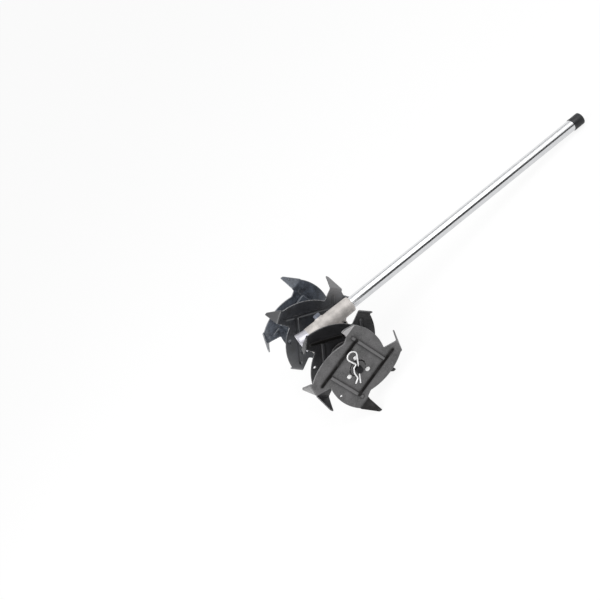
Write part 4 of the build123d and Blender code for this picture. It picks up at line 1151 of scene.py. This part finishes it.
class InnerTines(bpy.types.Operator):
    """Builds the two inner plates, with four steep claws each"""
    bl_idname = "cultivator.inner_tines"
    bl_label = "Inner tine plates"

    def execute(self, context):
        s = sizes_of(context.scene.tine_sizes)
        mesh = plate_mesh((STEEP,) * 4, (True,) * 4, INNER_CLAW_HIGHLIGHTS, s)
        mesh.transform(outward_frame(s.first_claw - s.lag, s.inner_reach - s.sheet / 2))
        # both inner plates take darker copies of the paint: painted shade
        finish_sides("inner_plate", mesh, "inner_paint", "inner_tines", "left_inner_shaded_paint")
        return {"FINISHED"}


class Hubs(bpy.types.Operator):
    """Turns the two hubs, with their welded flanges and hexagonal bores"""
    bl_idname = "cultivator.hubs"
    bl_label = "Hubs"

    def execute(self, context):
        s = sizes_of(context.scene.tine_sizes)
        tube, boss, flange, t = s.hub_tube_d / 2, s.hub_boss_d / 2, s.hub_flange_d / 2, s.hub_flange_t
        inner_in, inner_out = s.inner_reach - s.sheet / 2, s.inner_reach + s.sheet / 2
        outer_in = s.outer_reach - s.sheet / 2
        weld, boss_proud, edge = 2.6, 2.5, 0.5
        profile = [(0, s.hub_start), (tube, s.hub_start, 0.6), (tube, inner_in - boss_proud),
                   (boss, inner_in - boss_proud, 0.4), (boss, inner_out), (flange, inner_out, edge),
                   (flange, inner_out + t, edge), (tube + weld, inner_out + t)]
        profile += arc((tube + weld, inner_out + t + weld), weld, -90, -180, 5)[1:]
        profile += arc((tube + weld, outer_in - t - weld), weld, 180, 90, 5)
        profile += [(flange, outer_in - t, edge), (flange, outer_in, edge), (boss, outer_in),
                    (boss, s.hub_end, 0.6), (0, s.hub_end)]
        bore = prism(hexagon(s.axle_hex + 0.1, 30), s.hub_start - 1, s.hub_end + 1)
        hub = combine(lathe(profile), [bore], "DIFFERENCE")
        for side, label in ((-1, "right"), (1, "left")):
            mesh = moved(hub, frame_at((0, 0, 0), -s.clip_turn, "Y") @ on_axle(0, side))
            finish(f"hub_{label}", mesh, "tines", "hub_paint", f"tine_hub_{label}")
        return {"FINISHED"}


class Rivets(bpy.types.Operator):
    """Sets domed rivets in each plate"""
    bl_idname = "cultivator.rivets"
    bl_label = "Rivets"

    def execute(self, context):
        s = sizes_of(context.scene.tine_sizes)
        half, rise, shank = s.rivet_head / 2, s.rivet_rise, 0.6
        ball = (half ** 2 + rise ** 2) / (2 * rise)
        wide = degrees(acos((ball - rise) / ball))
        for name, reach, lag, z0, z1 in (("outer", s.outer_reach, 0, -s.hub_flange_t, s.sheet),
                                         ("inner", s.inner_reach, s.lag, 0, s.sheet + s.hub_flange_t)):
            top = [(ball * sin(radians(wide * i / 6)), z1 + rise - ball + ball * cos(radians(wide * i / 6)))
                   for i in range(7)]
            bottom = [(r, z0 + z1 - z) for r, z in reversed(top)]
            rivet = lathe(top + [(half * shank, z1), (half * shank, z0)] + bottom, 28)
            mesh = repeated(rivet, "zinc_steel", ring=(s.rivet_count, s.rivet_circle, s.rivet_turn))
            mesh.transform(outward_frame(s.first_claw - lag, reach - s.sheet / 2))
            finish_sides(f"{name}_rivets", mesh, "zinc_steel", "rivets")
        return {"FINISHED"}


class Axle(bpy.types.Operator):
    """Cuts the axle: round in the middle, hexagonal ends with turned corners and a hole for each clip"""
    bl_idname = "cultivator.axle"
    bl_label = "Axle"

    def execute(self, context):
        s = sizes_of(context.scene.tine_sizes)
        end, round_reach, round_r = s.axle_end, 34.0, 8.5
        flat, corner = s.axle_hex / 2 - 0.6, s.axle_hex / 2 / cos(radians(30)) + 0.2
        bar = prism(hexagon(s.axle_hex, 30), -end, end)
        ends = lathe([(0, -end), (flat, -end), (corner, -end + 1.4), (corner, end - 1.4), (flat, end),
                      (0, end)], 60)
        bar = combine(bar, [ends], "INTERSECT")
        middle = lathe([(0, -round_reach), (round_r, -round_reach, 0.5), (round_r, round_reach, 0.5),
                        (0, round_reach)], 60)
        bar = combine(bar, [middle], "UNION")
        bar.transform(frame_at((0, 0, 0), -s.clip_turn, "Y") @ on_axle(0, -1))
        holes = [laid(round_bar(s.clip_wire / 2 + 0.1, -12, 12, 24),
                      frame_at((0, side * s.clip_reach, 0), 90 - s.clip_turn, "Y")) for side in (1, -1)]
        bar = combine(bar, holes, "DIFFERENCE")
        finish("axle_bar", bevelled(bar, 0.25, 35), "tines", "black_steel", "axle")
        washer = lathe([(8.3, 0.3), (8.6, 0), (13.5, 0), (14, 0.4), (14, 1.6), (13.5, 2), (8.6, 2),
                        (8.3, 1.7)], 60)
        pair = joined([moved(washer, on_axle(round_reach, side)) for side in (1, -1)])
        finish("thrust_washers", pair, "tines", "black_steel", "stop_washers")
        return {"FINISHED"}


class Clips(bpy.types.Operator):
    """Bends the two R-clips from spring wire"""
    bl_idname = "cultivator.clips"
    bl_label = "R-clips"

    def execute(self, context):
        s = sizes_of(context.scene.tine_sizes)
        grip = s.axle_hex / 2 / cos(radians(30)) + s.clip_wire / 2 + 0.5
        pinch = s.clip_wire + 1.2
        leg, loop, wave_round = s.clip_leg, s.clip_loop, 2.6
        # the straight leg, the loop at its end, and the waved leg that comes back over the axle
        path = [Vector((-leg + (2 * leg) * i / 12, 0)) for i in range(13)]
        path += [Vector(point) for point in arc((leg, loop), loop, -75, 135, 14)]
        previous = path[-1]
        run = previous.y - pinch
        waves = ((previous.x - run, pinch), (grip * 0.55, grip), (-grip * 0.65, grip), (-leg * 0.6, pinch),
                 (-leg * 0.92, grip))
        knots = [Vector(wave) for wave in waves]
        for corner, following in zip(knots, knots[1:]):
            a = corner + (previous - corner).normalized() * wave_round
            b = corner + (following - corner).normalized() * wave_round
            path += [on_bend(a, corner, b, t) for t in (0, 0.25, 0.5, 0.75, 1)]
            previous = corner
        path.append(knots[-1])
        curve = bpy.data.curves.new("wire", "CURVE")
        curve.dimensions = "3D"
        curve.bevel_depth = s.clip_wire / 2
        curve.bevel_resolution = 5
        curve.use_fill_caps = True
        spline = curve.splines.new("POLY")
        spline.points.add(len(path) - 1)
        for point, place in zip(spline.points, path):
            point.co = (place.x, place.y, 0, 1)
        wire = baked(obj_from("wire", curve))
        wire.transform(outward_frame(s.clip_turn, s.clip_reach))
        pair = joined([wire, moved(wire, MIRROR)])
        finish("spring_clips", pair, "tines", "zinc_steel", "r_clips", crease=50)
        return {"FINISHED"}


# ------------------------------------------------------------------ shaft
class Shaft(bpy.types.Operator):
    """Draws the tube and dips its cap"""
    bl_idname = "cultivator.shaft"
    bl_label = "Shaft tube and cap"

    def execute(self, context):
        s = sizes_of(context.scene.shaft_sizes)
        r, bore = s.outside / 2, s.outside / 2 - s.wall
        tube = lathe([(bore, s.start, 0.4), (r, s.start, 0.5), (r, s.end, 0.6), (bore, s.end, 0.3)], 96)
        hole = laid(round_bar(s.button_hole / 2, 0, s.outside, 40),
                    frame_at((s.end - s.button_inset, 0, s.height - s.outside)))
        tube = combine(laid(tube, on_shaft()), [hole], "DIFFERENCE")
        finish("bright_tube", tube, "housing", "tube", "shaft_tube")
        mouth, inner, outer = s.end - s.cap_cover, r + 0.1, r + 0.1 + s.cap_wall
        tip, lip_r, tip_r = s.end + s.cap_end, 0.5, 1.6
        outside = [(inner, mouth + 0.4), (inner + 0.3, mouth), (outer - 0.2, mouth)]
        outside += arc((outer - 0.4, mouth + lip_r), lip_r, -60, 60, 4)
        outside += [(outer - 0.1, mouth + 1.4), (outer, mouth + 3)]
        outside += arc((outer - tip_r, tip - tip_r), tip_r, 0, 80, 6) + [(outer - 6, tip), (0, tip)]
        inside = [(0, s.end), (inner - 0.4, s.end), (inner, s.end - 0.4), (inner, mouth + 0.4)]
        finish("vinyl_cap", laid(cup(outside, inside, 96), on_shaft()), "cap", "cap_vinyl", "shaft_cap")
        return {"FINISHED"}


# ------------------------------------------------------------------ gear housing
LUG_ANGLES = (-90, -28, -152, 38, 158)
# the seats of the axle's bearings in both castings: radius, inner end, and the radius of their lead-in
SEAT_R, SEAT_START, LEAD_IN_R = 17.5, 9.5, 18.6
CREASE = 45     # degrees, for blended castings


def lug_spots(s):
    """Where the cover's lugs lie, as points on the Y = 0 plane."""
    turns = [radians(a) for a in LUG_ANGLES]
    return [(s.lug_circle * cos(a), 0, s.lug_circle * sin(a)) for a in turns]


def bar_on_y(x, z, y0, y1, r):
    """A round bar along Y, through (x, z)."""
    return laid(round_bar(r, y0, y1, 40), frame_at((x, 0, z), -90))


def on_axle_line(profile, segments=72):
    """A lathe profile turned about the axle's line, its heights along +Y."""
    return laid(lathe(profile, segments), on_axle())


def plug_frame(s, height):
    """On the plug's line, its origin on the shaft's line and +Z outwards."""
    return frame_at((s.plug_place, 0, height), -s.plug_tilt)


class GearHousing(bpy.types.Operator):
    """Casts the housing: tunnel, gear case, boss, clamp ears and lugs, then machines its bores"""
    bl_idname = "cultivator.gear_housing"
    bl_label = "Gear housing"

    def execute(self, context):
        s, t = sizes_of(context.scene.housing_sizes), sizes_of(context.scene.shaft_sizes)
        mouth, r0, r1, spare = s.collar_reach, s.tunnel_d / 2, s.collar_d / 2, 2.0
        below, beyond = t.height - r1, s.boss_end + 1
        # rough forms, a little long where they are machined back
        tunnel = lathe([(0, -s.nose_joint - spare), (r0, -s.nose_joint - spare), (r0, -s.nose_joint),
                        (r1 + 0.2, mouth - 6)]
                       + arc((r1 - s.collar_round, mouth - s.collar_round), s.collar_round, 0, 90, 8)
                       + [(0, mouth)], 96)
        tunnel.transform(on_shaft())
        joint, case_round = -s.case_right - spare, 4
        case = on_axle_line([(0, joint), (s.case_r, joint), (s.case_r, s.case_left - case_round)]
                            + arc((s.case_r - case_round, s.case_left - case_round), case_round, 0, 90, 5)
                            + [(0, s.case_left)], 96)
        boss = on_axle_line([(0, 0), (s.boss_r, 0), (s.boss_r, s.boss_end, 1.5), (0, s.boss_end)])
        ears = block((s.ear_start, -s.ear_half, below - s.ear_height), (s.ear_end, s.ear_half, below + 6))
        lugs = repeated(bar_on_y(0, 0, joint, -s.case_right + 14, s.lug_r), spots=lug_spots(s))
        pad = laid(round_bar(9.0, 0, r0 + 1.5), plug_frame(s, t.height))
        seat = bar_on_y(s.locating_place, t.height, 0, s.locating_seat, 5.5)
        back_web = block((30, -3, 16), (s.ear_start + 3, 3, 30))
        web = block((s.boss_r - 4, -2.2, 0), (s.case_r - 4, 2.2, 9))
        webs = laid(repeated(web, ring=(4, 0, 45)), on_axle(s.case_left - 1))
        body = cast(joined([tunnel, case, boss, ears, lugs, pad, seat, back_web, webs]), s.voxel, 8)
        # machining; what meets the nose cover is cut along its outside
        tube_r, nose_r = t.outside / 2, s.nose_joint_d / 2 + 0.3
        chamber_r, bush_r, slot_half = 35.5, 14, 1.25
        nose_cut = lathe([(0, -80), (s.nose_d / 2, -80), (s.nose_d / 2, -s.nose_reach),
                          (nose_r, -s.nose_joint - 4.4), (nose_r, -s.nose_joint), (0, -s.nose_joint)], 96)
        collar_bore = lathe([(0, t.start), (tube_r + 0.05, t.start), (tube_r + 0.05, mouth - 1.2),
                             (tube_r + 1.4, mouth + 1), (0, mouth + 1)], 96)
        worm_room = round_bar(13.2, -40, 36, 48)
        coupling_room = round_bar(9.0, 35, 40, 40)
        for cutter in (nose_cut, collar_bore, worm_room, coupling_room):
            cutter.transform(on_shaft())
        cuts = [block((-70, -60, -60), (120, -s.case_right, 120)), nose_cut, collar_bore,
                on_axle_line([(0, SEAT_START), (SEAT_R, SEAT_START), (SEAT_R, s.boss_end - 0.8),
                              (LEAD_IN_R, beyond), (0, beyond)]),
                on_axle_line([(0, -s.case_right - 3), (chamber_r, -s.case_right - 3), (chamber_r, 8),
                              (0, 8)]),
                worm_room, coupling_room,
                on_axle_line([(0, -1), (bush_r, -1), (bush_r, 11), (0, 11)], 48),
                block((s.ear_start, -slot_half, t.height - 40), (mouth + 2, slot_half, t.height))]
        body = combine(body, cuts, "DIFFERENCE")
        finish("cast_housing", body, "housing", "casting", "gear_housing", crease=CREASE)
        return {"FINISHED"}


class SideCover(bpy.types.Operator):
    """Casts the bolted cover on the right-hand side"""
    bl_idname = "cultivator.side_cover"
    bl_label = "Side cover"

    def execute(self, context):
        s = sizes_of(context.scene.housing_sizes)
        face = s.case_right + s.gasket_t
        outer, beyond = face + s.cover_t, s.boss_end + 1
        flange = on_axle_line([(0, -outer), (s.case_r, -outer), (s.case_r, -face + 2), (0, -face + 2)], 96)
        boss = on_axle_line([(0, -s.boss_end), (s.boss_r, -s.boss_end, 1.5), (s.boss_r, -face), (0, -face)])
        lugs = repeated(bar_on_y(0, 0, -outer, -face + 2, s.lug_r), spots=lug_spots(s))
        web = block((s.boss_r - 4, -1.6, 0), (s.case_r - 3, 1.6, 3.4))
        webs = laid(repeated(web, ring=(6, 0, 4)), on_axle(outer - 1, -1))
        body = cast(joined([flange, boss, lugs, webs]), s.voxel, 6)
        cuts = [block((-70, -face, -70), (70, 20, 70)),
                on_axle_line([(0, -beyond), (LEAD_IN_R, -beyond), (SEAT_R, 0.8 - s.boss_end),
                              (SEAT_R, -SEAT_START), (0, -SEAT_START)])]
        body = combine(body, cuts, "DIFFERENCE")
        ring = on_axle_line([(SEAT_R, -face - 0.5), (s.boss_r, -face - 0.5), (s.boss_r, -8), (14, -8),
                             (14, -SEAT_START), (SEAT_R, -SEAT_START)])
        finish("cast_cover", joined([body, ring]), "housing", "casting", "side_cover", crease=CREASE)
        screws = repeated(socket_screw(4.0, 14.5), "zinc_steel", [(x, z, 0) for x, _, z in lug_spots(s)])
        finish("cover_bolts", laid(screws, on_axle(outer, -1)), "housing", "zinc_steel", "cover_screws")
        return {"FINISHED"}


class NoseCover(bpy.types.Operator):
    """Turns the cover that closes the housing's lower end"""
    bl_idname = "cultivator.nose_cover"
    bl_label = "Nose cover"

    def execute(self, context):
        s = sizes_of(context.scene.housing_sizes)
        height = sizes_of(context.scene.shaft_sizes).height
        reach = s.nose_reach - s.nose_joint
        r0, r1 = s.nose_joint_d / 2, s.nose_d / 2
        # a spigot with a groove, a flare and a rounded end, with a shallow recess in it
        collar, groove, rim_r, recess = 4.4, 0.5, 1.2, 0.8
        profile = [(0, 0), (r0, 0, 0.4), (r0, 3.2), (r0 - groove, 3.5), (r0 - groove, 4.1), (r0, collar)]
        profile += [(r0 + (r1 - r0) * (i / 6) ** 1.15, collar + (reach - 6.4) * i / 6) for i in range(1, 7)]
        profile += arc((r1 - rim_r, reach - rim_r), rim_r, 0, 90, 5)
        profile += [(r1 - 4, reach), (r1 - 4.6, reach - recess), (0, reach - recess)]
        holes = [laid(round_bar(2.0, reach - 4.5, reach + 1, 24), frame_at((side * 9.7, 0, 0)))
                 for side in (1, -1)]
        nose = combine(lathe(profile, 96), holes, "DIFFERENCE")
        nose.transform(frame_at((-s.nose_joint, 0, height), -90, "Y"))
        finish("turned_nose", nose, "housing", "turned_aluminium", "nose_cover")
        return {"FINISHED"}


class HousingScrews(bpy.types.Operator):
    """Fits the clamp screw, the locating screw and the grease plug"""
    bl_idname = "cultivator.housing_screws"
    bl_label = "Clamp screw and grease plug"

    def execute(self, context):
        s, t = sizes_of(context.scene.housing_sizes), sizes_of(context.scene.shaft_sizes)
        middle, clamp_line = (s.ear_start + s.ear_end) / 2, t.height - t.outside / 2 - s.clamp_drop
        clamp = laid(socket_screw(6.0, 2 * s.ear_half + 2), frame_at((middle, s.ear_half, clamp_line), -90))
        finish("clamp_bolt", clamp, "housing", "black_steel", "clamp_screw")
        locating = laid(socket_screw(5.0, 6.1), frame_at((s.locating_place, s.locating_seat, t.height), -90))
        finish("locating_bolt", locating, "housing", "black_steel", "locating_screw")
        # the plug: its washer, a round collar and a hexagon with turned corners
        place = plug_frame(s, t.height) @ frame_at((0, 0, s.tunnel_d / 2 + 1.5))
        flats, top = 13.0, 7.6
        corner = flats / 2 / cos(radians(30)) + 0.2
        turned = lathe([(0, 2.0), (corner, 2.0), (corner, 6.4), (6.2, top), (0, top)], 60)
        head = combine(prism(hexagon(flats), 2.2, top), [turned], "INTERSECT")
        flange = lathe([(0, 1.0), (7.4, 1.0), (7.7, 1.3), (7.7, 1.9), (7.2, 2.3), (0, 2.3)], 60)
        finish("oil_plug", laid(joined([head, flange]), place), "housing", "plug", "grease_plug")
        washer = lathe([(4.05, 0.2), (4.2, 0), (7.5, 0), (7.7, 0.2), (7.7, 0.8), (7.5, 1.0), (4.2, 1.0),
                        (4.05, 0.8)], 60)
        finish("oil_plug_washer", laid(washer, place), "housing", "plug", "plug_washer")
        return {"FINISHED"}


class FrameFinishes(bpy.types.Operator):
    """Gives the CAD nodes that stay their finishes"""
    bl_idname = "cultivator.frame_finishes"
    bl_label = "Inner parts' finishes"

    def execute(self, context):
        make_materials(context.scene.finishes)
        for part in frame["record"]["subparts"]:
            mesh = frame["nodes"][part["node"]].data
            mesh.materials.clear()
            mesh.materials.append(MATERIALS[part["material_slot"]])
        return {"FINISHED"}


# ------------------------------------------------------------------ stage
FLOOR_HALF = 14.0
LIGHT_LEVEL = 0.62          # what the white surround adds on every side
SEEN_WHITE = 0.955          # the surround and the far floor, as the camera sees them
FLOOR_SHARE = 0.84          # how much of the floor's white is its own: the rest takes the shadow
FLOOR_GLOW = 1.025
MIRRORED_DIM = 0.25         # how much less of it a shiny surface mirrors
# each lamp's place, what it is aimed at, its width and depth, and its watts
LAMPS = (("overhead", (0.9, -0.7, 1.9), (-0.1, 0.0, 0.05), 1.4, 1.4, 16.0),
         ("far_end", (-1.30, -0.5, 0.9), (-0.31, 0.0, 0.08), 0.9, 0.9, 9.0),
         ("light_table", (-0.52, -0.03, 0.004), (-0.52, -0.03, 1.0), 0.24, 0.24, 0.28))
CAMERA_AT = (-0.301, -1.38782, 1.15549)
CAMERA_TURN = (45.6058, 37.5979, -31.3678)
LENS, FILM_WIDTH = 49.514, 36.0
CARD_TONE = "#4c4c4c"
CARD_DISTANCE = 0.6
CARD_CORNERS = (84, 390, 730)             # along the shaft, mm
TUBE_CARDS = ((9.6, 9.5), (-45.0, 2.4))   # a line on the tube: degrees down from its middle, half its width
SHADE_AT = (-0.49, -1.15, 0.64)
SHADE_WAY = (-0.2, -0.84, 0.51)
SHADE_R = 0.45


def tube_card(eye, turned, half):
    """A card placed where the tube mirrors it towards the eye, as a line along the whole tube."""
    height = sizes_of(bpy.context.scene.shaft_sizes).height
    corners = []
    for x in CARD_CORNERS:
        centre = TOOL @ Vector((x, 0, height))
        view = (eye - centre).normalized()
        facing = (view - view.dot(shaft_dir) * shaft_dir).normalized()
        downwards = shaft_dir.cross(facing)
        for turn in (turned - half, turned + half):
            normal = facing * cos(radians(turn)) + downwards * sin(radians(turn))
            corners.append(centre + (2 * normal.dot(view) * normal - view) * CARD_DISTANCE)
    mesh = bpy.data.meshes.new("card")
    mesh.from_pydata([tuple(corner) for corner in corners], [], [(0, 2, 3, 1), (2, 4, 5, 3)])
    return mesh


def looked_at(tree):
    """Two switches: 1 where a surface is seen, directly or in metal or glass, and 1 where it is mirrored.

    Both are 0 where the surface only gives light.
    """
    path = add(tree, "LightPath").outputs
    through = add(tree, "Math", {"operation": "MAXIMUM"},
                  {0: path["Is Glossy Ray"], 1: path["Is Transmission Ray"]})
    seen = add(tree, "Math", {"operation": "MAXIMUM"}, {0: path["Is Camera Ray"], 1: through})
    return seen, path["Is Glossy Ray"]


class Stage(bpy.types.Operator):
    """Lays the floor, sets the lamps and places the camera"""
    bl_idname = "cultivator.stage"
    bl_label = "Stage"

    def execute(self, context):
        scene, far, pure_white = context.scene, FLOOR_HALF, (1, 1, 1, 1)
        mesh = bpy.data.meshes.new("floor")
        mesh.from_pydata([(-far, -far, 0), (far, -far, 0), (far, far, 0), (-far, far, 0)], [], [(0, 1, 2, 3)])
        obj_from("floor", mesh)
        material, tree = new_material("pale_floor")
        paint = add(tree, "BsdfPrincipled", {"Base Color": toned(scene.finishes.floor, 1), "Roughness": 0.9,
                                             "Specular IOR Level": 0.0})
        seen, mirrored = looked_at(tree)
        share = add(tree, "Math", {"operation": "MULTIPLY", 1: FLOOR_SHARE}, {0: seen})
        strength = add(tree, "Math", {"operation": "MULTIPLY_ADD", 1: -MIRRORED_DIM, 2: FLOOR_GLOW},
                       {0: mirrored})
        glow = add(tree, "Emission", {"Color": pure_white}, {"Strength": strength})
        mix = add(tree, "MixShader", {}, {0: share, 1: paint, 2: glow})
        add(tree, "OutputMaterial", {}, {"Surface": mix})
        mesh.materials.append(material)

        world = bpy.data.worlds.new("studio")
        world.use_nodes = True
        scene.world = world
        tree = world.node_tree
        tree.nodes.clear()
        soft = add(tree, "Background", {"Color": pure_white, "Strength": LIGHT_LEVEL})
        white = add(tree, "Background", {"Color": pure_white, "Strength": SEEN_WHITE})
        mix = add(tree, "MixShader", {}, {0: looked_at(tree)[0], 1: soft, 2: white})
        add(tree, "OutputWorld", {}, {"Surface": mix})

        for name, place, aim, width, depth, power in LAMPS:
            lamp = bpy.data.lights.new(name, "AREA")
            lamp.shape = "RECTANGLE"
            lamp.size, lamp.size_y = width, depth
            lamp.energy = power
            holder = obj_from(name, lamp)
            holder.location = place
            holder.rotation_euler = (Vector(aim) - Vector(place)).to_track_quat("-Z", "Y").to_euler()
            holder.visible_camera = False

        lens = bpy.data.cameras.new("camera")
        lens.sensor_width = FILM_WIDTH
        lens.lens = LENS
        camera = obj_from("camera", lens)
        camera.location = CAMERA_AT
        camera.rotation_euler = [radians(a) for a in CAMERA_TURN]
        scene.camera = camera

        # dark cards, seen only in reflections: two draw the lines along the tube and one darkens
        # what faces the lens
        black, tree = new_material("dark_card")
        card = add(tree, "BsdfPrincipled", {"Base Color": linear(CARD_TONE), "Specular IOR Level": 0.0})
        add(tree, "OutputMaterial", {}, {"Surface": card})
        cards = [obj_from("card", tube_card(camera.location, turned, half)) for turned, half in TUBE_CARDS]
        shade = round_bar(SHADE_R, 0, 0.01, 24)
        facing = Vector(SHADE_WAY).to_track_quat("Z", "Y").to_matrix().to_4x4()
        shade.transform(Matrix.Translation(SHADE_AT) @ facing)
        for thing in cards + [obj_from("shade", shade)]:
            thing.data.materials.append(black)
            for ray in ("camera", "diffuse", "transmission", "volume_scatter", "shadow"):
                setattr(thing, "visible_" + ray, False)
        scene.view_settings.view_transform = "Standard"
        return {"FINISHED"}


class CULTIVATOR_PT_pieces(bpy.types.Panel):
    """Lists the pieces and the sizes and colours that they read"""
    bl_label = "Cultivator"
    bl_space_type = "VIEW_3D"
    bl_region_type = "UI"
    bl_category = "Cultivator"

    def draw(self, context):
        for operator in OPERATORS:
            self.layout.operator(operator.bl_idname)
        for name in GROUPS:
            group = getattr(context.scene, name)
            box = self.layout.box()
            for key in group.bl_rna.properties.keys():
                if key not in ("rna_type", "name"):
                    box.prop(group, key)


GROUPS = {"shaft_sizes": ShaftSizes, "housing_sizes": HousingSizes, "tine_sizes": TineSizes,
          "finishes": Finishes}
# in the order in which they run
OPERATORS = (FrameFinishes, Stage, Shaft, OuterTines, InnerTines, Hubs, Rivets, Axle, Clips, GearHousing,
             SideCover, NoseCover, HousingScrews)


def register():
    """Adds the operators, the panel and the scene's sizes and colours."""
    for cls in (*GROUPS.values(), *OPERATORS, CULTIVATOR_PT_pieces):
        bpy.utils.register_class(cls)
    for name, group in GROUPS.items():
        setattr(bpy.types.Scene, name, PointerProperty(type=group))


def unregister():
    """Takes them away again."""
    for name in GROUPS:
        delattr(bpy.types.Scene, name)
    for cls in reversed((*GROUPS.values(), *OPERATORS, CULTIVATOR_PT_pieces)):
        bpy.utils.unregister_class(cls)


def main():
    """Runs every operator."""
    register()
    for operator in OPERATORS:
        group, name = operator.bl_idname.split(".")
        getattr(getattr(bpy.ops, group), name)()


if __name__ == "__main__":
    main()
